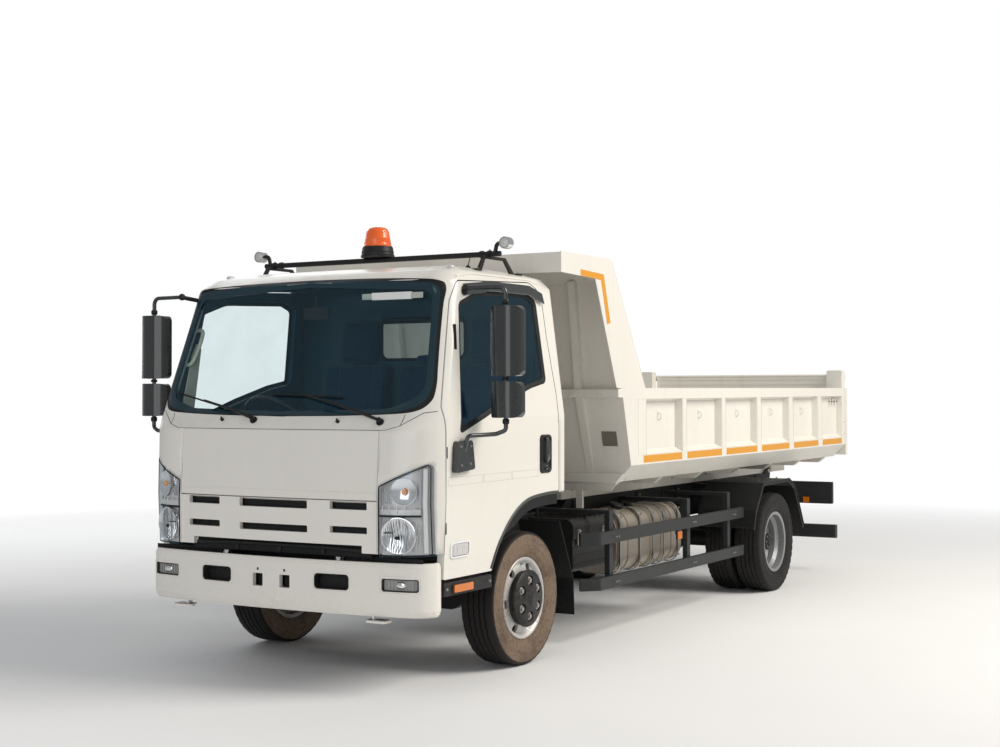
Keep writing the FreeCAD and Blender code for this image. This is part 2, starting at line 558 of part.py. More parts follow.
def build_cab():
    outer, inner = cab_loft(0), cab_loft(WALL)
    skin_front = outer.cut(cab_loft(PANEL))
    body = outer.common(above(UNDERSIDE, 0.0))
    body = body.cut(box(-640, 640, FRONT_WALL_Y, UNDERSIDE[2][0] + 1, 700, UNDERSIDE[2][1]))
    cavity = inner.common(above(FLOOR_LINE, FLOOR_T))
    wall = outer.cut(inner)
    shell = body.cut(cavity)
    # front lid and grille lie in the outer layer of the front wall
    rim = PANEL_GAP
    lid_recess = outer.cut(cab_loft(PANEL + PANEL_GAP)).common(
        front_zone(LID_BOTTOM - rim, LID_TOP + FIT, LID_HALF_W + rim))
    grille_recess = outer.cut(cab_loft(PANEL + FIT)).common(
        front_zone(GRILLE_BOTTOM - 5, LID_BOTTOM - rim, LID_HALF_W + rim))
    shell = shell.cut(lid_recess).cut(grille_recess)
    shell = shell.cut(front_zone(GRILLE_BOTTOM - 5, FRONT_GAP_TOP, GRILLE_FOOT_X, -1000.0))
    lid = skin_front.common(front_zone(LID_BOTTOM, LID_TOP, LID_HALF_W))
    grille = skin_front.common(front_zone(GRILLE_BOTTOM, LID_BOTTOM - 2 * rim, LID_HALF_W))
    grille = grille.cut(front_zone(GRILLE_BOTTOM - 5, GRILLE_NOTCH, GRILLE_FOOT_X))
    for x0, x1, z0, z1 in GRILLE_SLOTS:
        grille = grille.cut(prism_y(((x0, z0, 6), (x1, z0, 6), (x1, z1, 6), (x0, z1, 6)),
                                    -1300, -900))
    # headlamps fill pockets through the outer layer at the front corners
    lamps = []
    pocket_depth = cab_loft(WALL - 8.0)
    pocket = outer.cut(pocket_depth)
    for side in (1, -1):
        cutter = prism_y(tuple((side * p[0],) + p[1:] for p in lamp_outline(1.5)), -1300, -945)
        filler = prism_y(tuple((side * p[0],) + p[1:] for p in lamp_outline(0.0)), -1300, -947)
        shell = shell.cut(pocket.common(cutter))
        lamps.append(outer.cut(cab_loft(WALL - 9.0)).common(filler))
    # doors and their openings
    opening = prism_x(door_outline(GAP), 700, 1200)
    # nothing of the shell is left outside the doors' inner face
    shell = shell.cut(opening).cut(flip(opening))
    door = wall.common(prism_x(door_outline(0.0), 700, 1200))
    door = door.cut(prism_x(WINDOW, 700, 1200))
    # windscreen and rear window, set below the skin
    screen_hole = prism_y(WINDSCREEN, -1300, -500).common(prism_x(SCREEN_ZONE, -1200, 1200))
    shell = shell.cut(screen_hole)
    shell = shell.cut(prism_y(REAR_WINDOW, 300, 600))
    # a buffer beside each door's lock, which the closed door just touches
    for side in (1, -1):
        x0, x1 = sorted((side * 984, side * 996))
        shell = shell.fuse(box(x0, x1, DOOR_REAR_Y + FIT, DOOR_REAR_Y + GAP + 8, 1140, 1190))
    # the air space behind the grille's slots
    void = outer.cut(cab_loft(PANEL + GRILLE_VOID))
    shell = shell.cut(void.common(front_zone(FRONT_GAP_TOP + 6, LID_BOTTOM - 4 * rim, 640.0)))
    pane = cab_loft(GLASS_SET).cut(cab_loft(GLASS_SET + GLASS_T))
    screen = pane.common(prism_y(eased(WINDSCREEN, 0.0, 1810.0), -1300, -500)).common(
        prism_x(SCREEN_ZONE, -1200, 1200))
    rear_pane = pane.common(prism_y(eased(REAR_WINDOW, 0.0, 1810.0), 300, 600))
    side_pane = pane.common(prism_x(eased(WINDOW, -280.0, 1750.0), 700, 1200))
    parts = {
        "cab_shell": shell,
        "cab_glass": Part.makeCompound([screen, rear_pane]),
        "front_lid": lid,
        "grille": grille,
        "headlamps": Part.makeCompound(lamps),
        "door_left": door,
        "door_right": flip(door),
        "door_glass_left": side_pane,
        "door_glass_right": flip(side_pane),
    }
    return parts


def cab_hinges():
    """Brackets under the cab floor, in front of the rails, with the pins of the tilt axis."""
    y, z = CAB_PIVOT
    floor_z = FRONT_GAP_TOP + 1
    pieces = []
    for side in (1, -1):
        x0, x1 = sorted((side * (RAIL_X - 52), side * (RAIL_X - 12 - GAP)))
        pieces.append(prism_x(((y - 18, z - 18, 17), (y + 18, z - 18, 17), (RAIL_FRONT_Y - 9, z + 60),
                               (RAIL_FRONT_Y - 9, floor_z), (y + 22, floor_z), (y + 12, z + 60),
                               (y - 18, z + 10, 12)), x0, x1))
        x0, x1 = sorted((side * (RAIL_X - 54), side * (RAIL_X + 3)))
        pieces.append(rod_x(x0, x1, y, z, CAB_PIN_R))
    return pieces


COLUMN_END = (-450.0, -560.0, 1378.0)
COLUMN_DIR = (0.0, 0.712, 0.702)


def dashboard(room):
    body = prism_x(((-985, 1120, 20), (-700, 1060, 40), (-640, 1180, 40), (-650, 1330, 50),
                    (-760, 1425, 40), (-985, 1440, 10)), -925, 925)
    binnacle = prism_x(((-780, 1400), (-620, 1330, 30), (-640, 1440, 40), (-780, 1470, 30)),
                       -640, -260)
    column = rod_between(V(*COLUMN_END) - V(*COLUMN_DIR) * 200, V(*COLUMN_END), 30)
    console = box(-110, 110, -985, -760, 830, 1130)
    return fuse([body, binnacle, column, console]).common(room)


def steering_wheel():
    tilt = V(*COLUMN_DIR)
    hub_at = V(*COLUMN_END) + tilt * FIT
    rim = Part.makeTorus(205, 15, hub_at + tilt * 30, tilt)
    hub = Part.makeCylinder(48, 40, hub_at, tilt)
    spokes = []
    across = V(1, 0, 0)
    down = tilt.cross(across)
    for a in (0, 180, 90):
        d = across * math.cos(math.radians(a)) + down * math.sin(math.radians(a)) * -1
        spokes.append(rod_between(hub_at + tilt * 26, hub_at + tilt * 30 + d * 200, 12))
    return fuse([hub, rim] + spokes)


SEATS = ((-450.0, 470.0), (100.0, 380.0), (530.0, 470.0))      # centre x and width of each seat
SEAT_Z = 1064.0                 # top of the seat plinths
SEAT_FRONT_Y, SEAT_BACK_Y = -330.0, 130.0
BACK_TOP = (292.0, 1753.0)      # middle of a seat back's top
HEADREST_Z = 1797.0


def seat_cushions():
    z = SEAT_Z + FIT
    return Part.makeCompound([
        prism_x(((SEAT_FRONT_Y, z, 30), (SEAT_BACK_Y, z, 10), (SEAT_BACK_Y, z + 126, 40),
                 (SEAT_FRONT_Y + 20, z + 161, 60)), x - w / 2, x + w / 2)
        for x, w in SEATS])


def seat_backs():
    z = SEAT_Z + FIT
    pieces = []
    for x, w in SEATS:
        pieces.append(prism_x(((SEAT_BACK_Y + FIT, z, 6), (236, z, 20), (345, 1745, 40), (240, 1760, 50)),
                              x - w / 2, x + w / 2))
        pieces.append(prism_x(((252, HEADREST_Z, 30), (335, HEADREST_Z, 30), (352, 1965, 35),
                               (282, 1975, 35)), x - w * 0.27, x + w * 0.27))
    return Part.makeCompound(pieces)


def seat_frame(room):
    """Plinths on the rear floor under the seats, and the headrests' stalks."""
    pieces = []
    for x, w in SEATS:
        plinth = box(x - w / 2 + 30, x + w / 2 - 30, -300, 230, 800, SEAT_Z)
        hollow = box(x - w / 2 + 50, x + w / 2 - 50, -280, 210, 800, SEAT_Z - 20)
        pieces.append(plinth.cut(hollow).common(room))
        for k in (-1, 1):
            pieces.append(rod_z(x + k * 45, BACK_TOP[0], BACK_TOP[1] + FIT + 0.5, HEADREST_Z - FIT, 6))
    return Part.makeCompound(pieces)


def roof_bar(skin):
    """Lamp bar on two bent strap feet, with a lamp on a stalk at each end."""
    y, z = BAR_Y, BAR_Z
    pieces = [rod_x(-865, 865, y, z, BAR_R)]
    for side in (1, -1):
        x0, x1 = sorted((side * 786.0, side * 800.0))
        strap = prism_x(((-308, 2235), (-214, z - 12, 14), (30, z - 12, 14), (190, 2225)), x0, x1)
        strap = strap.cut(prism_x(((-286, 2200), (-198, z - 30, 10), (18, z - 30, 10), (165, 2200)),
                                  x0 - 1, x1 + 1))
        pieces.append(strap.cut(skin))
        pieces.append(bent_tube(((side * 700, y, z), (side * 828, y, z), (side * 842, y, z + 62),
                                 (side * 900, y, z + 60)), 12, 26))
        pieces.append(rod_between(V(side * 905, y - 24, z + 60), V(side * 905, y + 24, z + 60), 33))
    return fuse(pieces)


def beacon():
    """Round base on the roof bar, under a tapered lens with a rounded top."""
    foot = BAR_Z + BAR_R + FIT
    base = Part.makeCone(105, 92, 66, V(0, BAR_Y, foot), V(0, 0, 1))
    dome = Part.makeCone(82, 60, 118, V(0, BAR_Y, foot + 66), V(0, 0, 1))
    dome = dome.makeFillet(22, [e for e in dome.Edges if e.BoundBox.ZMin > foot + 176
                                and e.Length > 100])
    return base.fuse(dome)


def mirrors(side, skin):
    """Mirror heads and their tubes; the driver's own, on the right, stands further forward."""
    x, y = MIRROR_X, MIRROR_Y[side]
    heads = []
    for z0, z1, half in ((1665.0, 2045.0, 100.0), (1440.0, 1635.0, 95.0)):
        front_view = prism_y(((x - half, z0, 34), (x + half, z0, 34), (x + half, z1, 34),
                              (x - half, z1, 34)), y - 60, y + 60)
        plan = prism_z(((x - half, y + 45), (x - half, y - 10, 60), (x - half * 0.4, y - 48, 60),
                        (x + half * 0.4, y - 48, 60), (x + half, y - 10, 60), (x + half, y + 45)), z0, z1)
        heads.append(front_view.common(plan))
    stem = rod_z(x, y, 1400, 2100, 12)
    lower = bent_tube(((1018, -790, 1250), (1040, -780, 1345), (x - 50, y - 20, 1352), (x, y, 1372),
                       (x, y, 1450)), 12, 24)
    upper = bent_tube(((x, y, 2080), (x, y, 2150), (930, y - 20, 2150)), 12, 40)
    foot = prism_x(((-880, 1150, 14), (-690, 1165, 14), (-715, 1320, 20), (-865, 1320, 20)), 998, 1032)
    return on_side(side, fuse(heads + [stem, lower, upper, foot]).cut(skin))


def wipers(skin):
    """Arms from their pivots below the screen, and the blades across them."""
    arms = []
    for (px, pz), left, right in WIPERS:
        pivot = V(px, -1092, pz)
        middle = (V(*left) + V(*right)) * 0.5 + V(0, -12, 0)
        arms.append(fuse([rod_between(pivot + V(0, 50, -34), pivot + V(0, -8, 6), 17),
                          rod_between(pivot, middle, 7), rod_between(V(*left), V(*right), 7)]).cut(skin))
    return Part.makeCompound(arms)


# ---------------------------------------------------------------- wheels and steering
def knuckle(side):
    x = KINGPIN_X
    z0, z1 = WHEEL_Z - 45 - 4, WHEEL_Z + 45 + 4
    plate_x = x + 46
    lugs = [box(x - 30, plate_x, -34, 34, z0 - 26, z0), box(x - 30, plate_x, -34, 34, z1, z1 + 26)]
    plate = box(x + 38, plate_x + 8, -40, 40, z0 - 26, z1 + 26)
    pin = rod_z(x, 0, z0 - 26, z1 + 26, KINGPIN_R)
    spindle = rod_x(plate_x, 905, 0, WHEEL_Z, SPINDLE_R)
    arm = box(x - 24, x + 6, 30, 190, z0 - 22, z0 - 4)
    return on_side(side, fuse(lugs + [plate, pin, spindle, arm]))


def tyre(x, width=TYRE_W):
    h, seat = width / 2, RIM_W / 2 - FIT
    belly = RIM_FLANGE_R + (TYRE_R - RIM_FLANGE_R) * 0.43
    return ((x - seat, RIM_SEAT_R + FIT), (x - seat, RIM_FLANGE_R + 4),
            (x - h, belly, 25), (x - h + 4, TYRE_R - 10, 12), (x - h + 30, TYRE_R), (x + h - 30, TYRE_R),
            (x + h - 4, TYRE_R - 10, 12), (x + h, belly, 25), (x + seat, RIM_FLANGE_R + 4),
            (x + seat, RIM_SEAT_R + FIT))


def rim_ring(x):
    """Rim section, flange to flange: 14 mm flanges and a sloping well."""
    e, t = RIM_W / 2, 9.0
    return ((x - e - 12, RIM_FLANGE_R), (x - e, RIM_FLANGE_R), (x - e, RIM_SEAT_R),
            (x - e + 40, RIM_SEAT_R), (x - e + 62, RIM_SEAT_R - 24), (x + e - 62, RIM_SEAT_R - 24),
            (x + e - 40, RIM_SEAT_R), (x + e, RIM_SEAT_R), (x + e, RIM_FLANGE_R),
            (x + e + 12, RIM_FLANGE_R), (x + e + 8, RIM_SEAT_R - t), (x + e - 40, RIM_SEAT_R - t),
            (x + e - 62, RIM_SEAT_R - 24 - t), (x - e + 62, RIM_SEAT_R - 24 - t),
            (x - e + 40, RIM_SEAT_R - t), (x - e - 8, RIM_SEAT_R - t))


def front_rim():
    x = FRONT_WHEEL_X
    bore = SPINDLE_R + FIT
    ring = spun_x(rim_ring(x), 0, WHEEL_Z)
    face = 932.0
    disc = spun_x(((face - 22, bore), (face + 4, bore), (face + 4, 110), (face - 6, 150, 20),
                   (face - 26, 196), (x + 18, 202), (x + 18, 188), (face - 40, 184), (face - 22, 140)),
                  0, WHEEL_Z)
    drum = spun_x(((800, bore), (face - 22, bore), (face - 22, 90), (880, 90), (880, 160), (806, 160),
                   (806, 90), (800, 90)), 0, WHEEL_Z)
    cap = spun_x(((face + 3.9, 0), (face + 34, 0), (face + 34, 62, 10), (face + 10, 78),
                  (face + 3.9, 78)), 0, WHEEL_Z)
    shape = fuse([ring, disc, drum, cap])
    for k in range(8):
        a = math.radians(45 * k + 22.5)
        hole = rod_x(face - 60, face + 20, 158 * math.cos(a), WHEEL_Z + 158 * math.sin(a), 21)
        shape = shape.cut(hole)
    return shape


def rear_rims():
    y = WHEELBASE
    bore = REAR_SPINDLE_R + FIT
    x0, x1 = DUAL_X - DUAL_SPACING / 2, DUAL_X + DUAL_SPACING / 2
    rings = [spun_x(rim_ring(x), y, WHEEL_Z) for x in (x0, x1)]
    disc = spun_x(((DUAL_X - 12, 80), (DUAL_X + 12, 80), (DUAL_X + 14, 150, 20), (x1 - 30, 195),
                   (x1 - 20, 204), (x1 - 34, 206), (DUAL_X, 162), (x0 + 34, 206), (x0 + 20, 204),
                   (x0 + 30, 195), (DUAL_X - 14, 150, 20)), y, WHEEL_Z)
    hub = spun_x(((DUAL_X - 50, bore), (DUAL_X + 124, bore), (DUAL_X + 124, 0), (DUAL_X + 150, 0),
                  (DUAL_X + 150, 70, 12), (DUAL_X + 40, 78), (DUAL_X + 12, 100), (DUAL_X - 50, 100)),
                 y, WHEEL_Z)
    drum = spun_x(((DUAL_X - 50, 90), (DUAL_X - 20, 90), (DUAL_X - 20, 160), (DUAL_X - 170, 160),
                   (DUAL_X - 170, 146), (DUAL_X - 50, 146)), y, WHEEL_Z)
    shape = fuse(rings + [disc, hub, drum])
    for k in range(8):
        a = math.radians(45 * k)
        shape = shape.cut(rod_x(DUAL_X - 80, DUAL_X + 80, y + 150 * math.cos(a),
                                WHEEL_Z + 150 * math.sin(a), 20))
    return shape


# ---------------------------------------------------------------- side and rear gear
def entry_steps():
    rear = -TYRE_R - 55
    step = prism_x(((-925, 500, 10), (rear, 500, 10), (rear, 572, 10), (-925, 572, 10)), 640, 982)
    step = step.cut(box(665, 957, -900, rear - 25, 520, 580))
    arms = [box(RAIL_X, 660, y - 20, y + 20, 590, 640) for y in (-860, rear - 80)]
    posts = [box(640, 664, y - 20, y + 20, 560, 640) for y in (-860, rear - 80)]
    return both(fuse([step] + arms + posts))


def fuel_tank():
    """Round-cornered tank with pressed ribs, on brackets from the rail."""
    x0, x1, z0, z1 = TANK_BOX
    front, rear = TANK_Y

    def section(grow, y0, y1):
        return prism_y(((x0 - grow, z0 - grow, 70), (x1 + grow, z0 - grow, 120),
                        (x1 + grow, z1 + grow, 120), (x0 - grow, z1 + grow, 70)), y0, y1)

    pieces = [section(-10, front, rear), section(0, front + 14, rear - 14)]
    pitch = (rear - front) / TANK_BAYS
    for k in range(1, TANK_BAYS):
        pieces.append(section(4, front + k * pitch - 18, front + k * pitch + 18))
    for y in TANK_BRACKETS:
        pieces.append(box(RAIL_X, x0 + 2, y - 25, y + 25, 470, 700))
        pieces.append(prism_y(((RAIL_X, z0 - 14), (x1 - 120, z0 - 14), (x1 - 120, z0 + 2),
                               (RAIL_X + 14, z0 + 2), (RAIL_X + 14, RAIL_TOP - 20),
                               (RAIL_X, RAIL_TOP - 20)), y - 25, y + 25))
    neck = rod_between(V(690, front + 130, z1 - 60), V(720, front + 130, z1 + 24), 40)
    return fuse(pieces + [neck])


def battery_box():
    """Battery case with its overhanging cover, beside the rail in front of the tank."""
    y0, y1 = BATTERY_Y
    case = prism_y(((470, 430, 16), (790, 430, 30), (790, 690), (470, 690)), y0 + 10, y1 - 10)
    cover = prism_y(((466, 640), (802, 640, 6), (802, 768, 60), (466, 768, 20)), y0, y1)
    arms = [box(RAIL_X, 474, y - 30, y + 30, 600, 700) for y in (y0 + 80, y1 - 80)]
    return fuse([case, cover] + arms)


def exhaust():
    """Silencer outside the right rail, its inlet and its bent tail pipe."""
    x, z = SILENCER_AXIS
    y0, y1 = SILENCER_Y
    body = Part.makeCylinder(130, y1 - y0, V(x, y0, z), V(0, 1, 0))
    inlet = bent_tube(((x, y0 + 5, z), (x, y0 - 200, z), (-RAIL_X - 30, y0 - 340, z + 60)), PIPE_R, 90)
    tail = bent_tube(((x, y1 - 5, z), (x, y1 + 450, z), (x - 160, y1 + 750, z - 20)), PIPE_R, 140)
    arms = [box(x, -RAIL_X, y - 20, y + 20, z + 100, z + 150) for y in (y0 + 100, y1 - 100)]
    return fuse([body, inlet, tail] + arms)


def side_guards():
    """Two flat rails a side, bent in at the front, on posts hung from the frame."""
    end = WHEELBASE - 525
    thick = 30.0
    rails = []
    for z0, z1 in ((612, 690), (328, 404)):
        rails.append(prism_z(((GUARD_X - thick, end), (GUARD_X, end), (GUARD_X, 880, 40),
                              (GUARD_X - 88, 780), (GUARD_X - 112, 800), (GUARD_X - thick, 895, 30)),
                             z0, z1))
    posts = []
    for y in GUARD_POSTS:
        posts.append(box(GUARD_X - thick - 36, GUARD_X - thick, y - 26, y + 26, 330, 816))
        posts.append(box(RAIL_X, GUARD_X - thick - 4, y - 20, y + 20, 790, 816))
        posts.append(box(RAIL_X, RAIL_X + 12, y - 45, y + 45, 700, 816))
    return both(fuse(rails + posts))


def rear_fenders():
    """Bent steel fenders with turned edges over the rear wheels."""
    y, z = WHEELBASE, WHEEL_Z
    path = ((y - 487, z + 146), (y - 442, z + 275), (y - 281, z + 477), (y + 300, z + 483),
            (y + 435, z + 420), (y + 640, z + 80))
    x0, x1 = RAIL_X + 150, DUAL_X + 225

    def strip(depth, xa, xb):
        inner = tuple((a + (depth * 0.8 if a < y else -depth * 0.8), b - depth)
                      for a, b in reversed(path))
        return prism_x(path + inner, xa, xb)

    pieces = [strip(6, x0, x1), strip(26, x1 - 6, x1), strip(20, x0, x0 + 5)]
    for dy in (-195, 215):
        pieces.append(box(RAIL_X, x0 + 40, y + dy - 20, y + dy + 20, z + 415, z + 455))
        pieces.append(box(x0 + 4, x0 + 40, y + dy - 20, y + dy + 20, z + 415, z + 480))
    return both(fuse(pieces))


def front_splash_guards():
    """Sheets behind the front wheels, each on an arm from its rail."""
    path = ((404, 800), (496, 607), (578, 436), (590, 214))
    back = tuple((y + 5, z) for y, z in reversed(path))
    sheet = prism_x(path + back, 660, 950)
    arm = box(RAIL_X, 670, 470, 490, 640, 680)
    return both(fuse([sheet, arm]))


def tail_bar():
    """Lamp boards beside the rails, the underrun bar below them and its two arms."""
    y0 = TAIL_Y
    pieces = [prism_x(((y0 + 34, 290, 12), (y0 + 94, 290, 12), (y0 + 94, 405, 12), (y0 + 34, 405, 12)),
                      -1055, 1055)]
    for side in (1, -1):
        x0, x1 = sorted((side * (RAIL_X + 1), side * 1040))
        board = prism_y(((x0, 590, 8), (x1, 590, 8), (x1, 780, 8), (x0, 780, 8)), y0, y0 + 40)
        x0, x1 = sorted((side * RAIL_X, side * (RAIL_X + 14)))
        arm = prism_x(((y0 - 130, RAIL_TOP - RAIL_H), (y0 - 40, 330, 40), (y0 + 60, 330),
                       (y0 + 60, RAIL_TOP - 10), (y0 - 130, RAIL_TOP - 10)), x0, x1)
        pieces += [board, arm]
    return fuse(pieces)


# ---------------------------------------------------------------- dump body
def side_wall():
    """Pressed side: slanting foot, upright panel set in between the posts, and top rail."""
    bottom = BODY_FLOOR - FLOOR_PLATE
    wall = prism_y(((SIDE_FOOT_X - 65, bottom), (SIDE_FOOT_X, bottom), (BODY_HALF_W, SIDE_LOW_Z),
                    (BODY_HALF_W, SIDE_LOW_Z + 65), (PANEL_OUT_X, SIDE_LOW_Z + 97),
                    (PANEL_OUT_X, SIDE_TOP - 88), (BODY_HALF_W, SIDE_TOP - 70), (BODY_HALF_W, SIDE_TOP),
                    (SIDE_IN_X, SIDE_TOP), (SIDE_IN_X, BODY_FLOOR + 40),
                    (SIDE_IN_X - 40, BODY_FLOOR), (SIDE_FOOT_X - 65, BODY_FLOOR)),
                   BODY_FRONT_Y, SIDE_REAR_Y)
    posts = []
    for y0, y1 in SIDE_POSTS:
        posts.append(prism_z(((SIDE_IN_X + 5, max(y0 - 12, BODY_FRONT_Y)), (BODY_HALF_W, y0),
                              (BODY_HALF_W, y1), (SIDE_IN_X + 5, min(y1 + 12, SIDE_REAR_Y))),
                             SIDE_LOW_Z, SIDE_TOP))
    corner = prism_y(((POST_IN_X, bottom), (SIDE_FOOT_X, bottom), (BODY_HALF_W, SIDE_LOW_Z),
                      (BODY_HALF_W, POST_TOP, 14), (POST_IN_X, POST_TOP, 14)),
                     SIDE_POSTS[-1][0], SIDE_REAR_Y)
    pivot_y, pivot_z = GATE_PIVOT
    ears = [prism_x(((SIDE_REAR_Y, pivot_z - 30), (pivot_y + 24, pivot_z - 26, 20),
                     (pivot_y + 24, pivot_z + 26, 20), (SIDE_REAR_Y, pivot_z + 30)), x0, x1)
            for x0, x1 in (GATE_EARS[:2], GATE_EARS[2:])]
    pin = rod_x(GATE_EARS[0], GATE_EARS[3], pivot_y, pivot_z, GATE_PIN_R)
    return fuse([wall] + posts + [corner] + ears + [pin])


def dump_tub():
    """Floor, sides, cross bearers and runners of the body, with its hinge pins and hoist pins."""
    bottom = BODY_FLOOR - FLOOR_PLATE
    foot = SIDE_FOOT_X - 55
    floor = box(-foot, foot, BODY_FRONT_Y, SIDE_REAR_Y, bottom, BODY_FLOOR)
    side = side_wall()
    pieces = [floor, side, flip(side)]
    for y0, y1 in SIDE_POSTS:
        mid = (y0 + y1) / 2
        pieces.append(prism_y(((-foot, bottom), (-foot + 70, bottom - 55), (foot - 70, bottom - 55),
                               (foot, bottom)), mid - 28, mid + 28))
    hinge_y, hinge_z = TILT_PIVOT
    for s in (1, -1):
        x0, x1 = sorted((s * (RAIL_X - RAIL_W), s * RAIL_X))
        pieces.append(box(x0, x1, BODY_FRONT_Y, SIDE_REAR_Y, SUBFRAME_TOP + GAP, bottom))
        x0, x1 = sorted((s * (RAIL_X - RAIL_W), s * (RAIL_X - 24)))
        pieces.append(prism_x(((hinge_y - 30, hinge_z - 30, 28), (hinge_y + 30, hinge_z - 30, 28),
                               (hinge_y + 60, bottom), (hinge_y - 60, bottom)), x0, x1))
    tub = fuse(pieces)
    for s in (1, -1):
        # room for the fixed hinge ears and the rail ends, then the hinge pin
        x0, x1 = sorted((s * (RAIL_X - 22), s * (RAIL_X + 2)))
        tub = tub.cut(box(x0, x1, hinge_y - 200, hinge_y + 60, hinge_z - 80, hinge_z + 45))
        x0, x1 = sorted((s * (RAIL_X - 40), s * (RAIL_X + 4)))
        tub = tub.fuse(rod_x(x0, x1, hinge_y, hinge_z, TILT_PIN_R))
        # cheeks beside the hoist's eye, with the ends of its pin
        ey, ez = HOIST_EYE
        x0, x1 = sorted((s * 44, s * 58))
        cheek = prism_x(((ey - 110, bottom + 1), (ey - 40, ez - 40, 30), (ey + 40, ez - 40, 30),
                         (ey + 110, bottom + 1)), x0, x1)
        x0, x1 = sorted((s * 50, s * 72))
        tub = tub.fuse(cheek.fuse(rod_x(x0, x1, ey, ez, 26)))
    return tub


def headboard():
    """Front wall of the body with its rail, ribs, side gussets and the canopy over the cab."""
    half = BODY_HALF_W
    y_low, y_mid, y_top = 1330.0, 1165.0, 1070.0
    z_low, z_mid, z_top = BODY_FLOOR - 80.0, SIDE_TOP - 35.0, SIDE_TOP + 692.0
    t = 12.0
    canopy_z = z_top + 131
    plate = prism_x(((y_low, z_low), (y_mid, z_mid), (y_top, z_top), (y_top + t, z_top),
                     (y_mid + t, z_mid), (y_low + t, z_low)), -half, half)
    floor = box(-SIDE_FOOT_X, SIDE_FOOT_X, y_low, BODY_FRONT_Y, BODY_FLOOR - FLOOR_PLATE, BODY_FLOOR)
    rail = prism_x(((y_mid - 62, z_mid - 22), (y_mid - 62, SIDE_TOP - 6, 8), (y_mid + 6, SIDE_TOP),
                    (y_mid + 6, z_mid - 25), (y_mid - 50, z_mid - 25)), -half, half)
    foot = prism_x(((y_low - 44, BODY_FLOOR - 20), (y_low - 56, BODY_FLOOR + 40),
                    (y_low + 6, BODY_FLOOR + 45), (y_low + 6, BODY_FLOOR - 40)), -half, half)
    top = prism_x(((340, z_top + 8), (340, canopy_z - 3), (1000, canopy_z - 3), (y_top + 10, z_top),
                   (y_top - 10, z_top - 10), (980, canopy_z - 43), (380, canopy_z - 43),
                   (380, z_top + 8)), -half, half)
    gusset = prism_x(((340, canopy_z), (347, z_top + 6), (790, z_top - 7), (1086, SIDE_TOP),
                      (1513, SIDE_TOP), (1010, canopy_z)), half - 6, half)
    lower_side = prism_x(((y_low, z_low), (y_mid, z_mid), (y_mid, SIDE_TOP), (BODY_FRONT_Y, SIDE_TOP),
                          (BODY_FRONT_Y, z_low)), SIDE_IN_X, half)
    ribs = []
    for x in (-700.0, -240.0, 240.0, 700.0):
        ribs.append(prism_x(((y_low - 34, BODY_FLOOR + 40), (y_mid - 34, z_mid - 20),
                             (y_mid + 2, z_mid - 20), (y_low + 2, BODY_FLOOR + 40)), x - 25, x + 25))
        ribs.append(prism_x(((y_mid - 44, SIDE_TOP - 5), (y_top - 44, z_top), (y_top + 2, z_top),
                             (y_mid + 2, SIDE_TOP - 5)), x - 25, x + 25))
    shape = fuse([plate, floor, rail, foot, lower_side, flip(lower_side)] + ribs)
    # the lower corners run in with the slanting sides
    drop = BODY_FLOOR - FLOOR_PLATE - z_low + 20
    for side in (1, -1):
        corner = prism_y(((side * (half + 5), SIDE_LOW_Z + 5), (side * (SIDE_FOOT_X - drop), z_low - 20),
                          (side * (half + 5), z_low - 20)), y_low - 80, BODY_FRONT_Y + 1)
        shape = shape.cut(corner)
    guides = [box(*sorted((s * 575, s * 620)), y_low - 2, y_low + 22, SUBFRAME_TOP - 40, z_low + 20)
              for s in (1, -1)]
    return fuse([shape, top, gusset, flip(gusset)] + guides)


def gate_cells(y0, y1):
    """Pressed-in panels between the gate's uprights."""
    pitch = (2 * BODY_HALF_W - GATE_UPRIGHT) / GATE_BAYS
    z0, z1 = BODY_FLOOR + 60, SIDE_TOP - 40
    cells = []
    for i in range(GATE_BAYS):
        x0 = -BODY_HALF_W + GATE_UPRIGHT + i * pitch
        x1 = x0 + pitch - GATE_UPRIGHT
        cells.append(prism_y(((x0, z0, 14), (x1, z0, 14), (x1, z1, 14), (x0, z1, 14)), y0, y1))
    return cells


def tailgate():
    """Top-hung gate: frame of three rails and five uprights round pressed-in panels."""
    y0, y1 = GATE_FRONT_Y, BODY_REAR_Y
    half, upper_half = BODY_HALF_W, POST_IN_X - GAP - 2
    frame = box(-half, half, y0, y1, BODY_FLOOR, SIDE_TOP - 4)
    frame = frame.fuse(prism_x(((y0, SIDE_TOP - 10), (y1, SIDE_TOP - 10), (y1, GATE_TOP, 12),
                                (y0, GATE_TOP, 12)), -upper_half, upper_half))
    grooves = [box(-upper_half + 30, upper_half - 30, y0 - 1, y0 + 5, z, z + 8)
               for z in (SIDE_TOP + 25, SIDE_TOP + 70, SIDE_TOP + 100)]
    frame = frame.cut(gate_cells(y0 + 8, y1 + 1)).cut(grooves)
    py, pz = GATE_PIVOT
    arms = []
    for s in (1, -1):
        x0, x1 = sorted((s * (GATE_EARS[1] + GAP), s * (GATE_EARS[2] - GAP)))
        arms.append(prism_x(((py - 20, SIDE_TOP - 10), (py - 20, pz + 20, 19), (py + 20, pz + 20, 19),
                             (py + 20, SIDE_TOP - 10)), x0, x1))
    bore = rod_x(-GATE_EARS[2], GATE_EARS[2], py, pz, GATE_PIN_R + FIT)
    # the upper band stays clear of the pins
    notch = [box(*sorted((s * (GATE_EARS[0] - GAP), s * (GATE_EARS[1] + GAP))), y0 - 1, y1 + 1,
                 SIDE_TOP - 4, GATE_TOP + 1) for s in (1, -1)]
    return fuse([frame.cut(notch)] + arms).cut(bore)


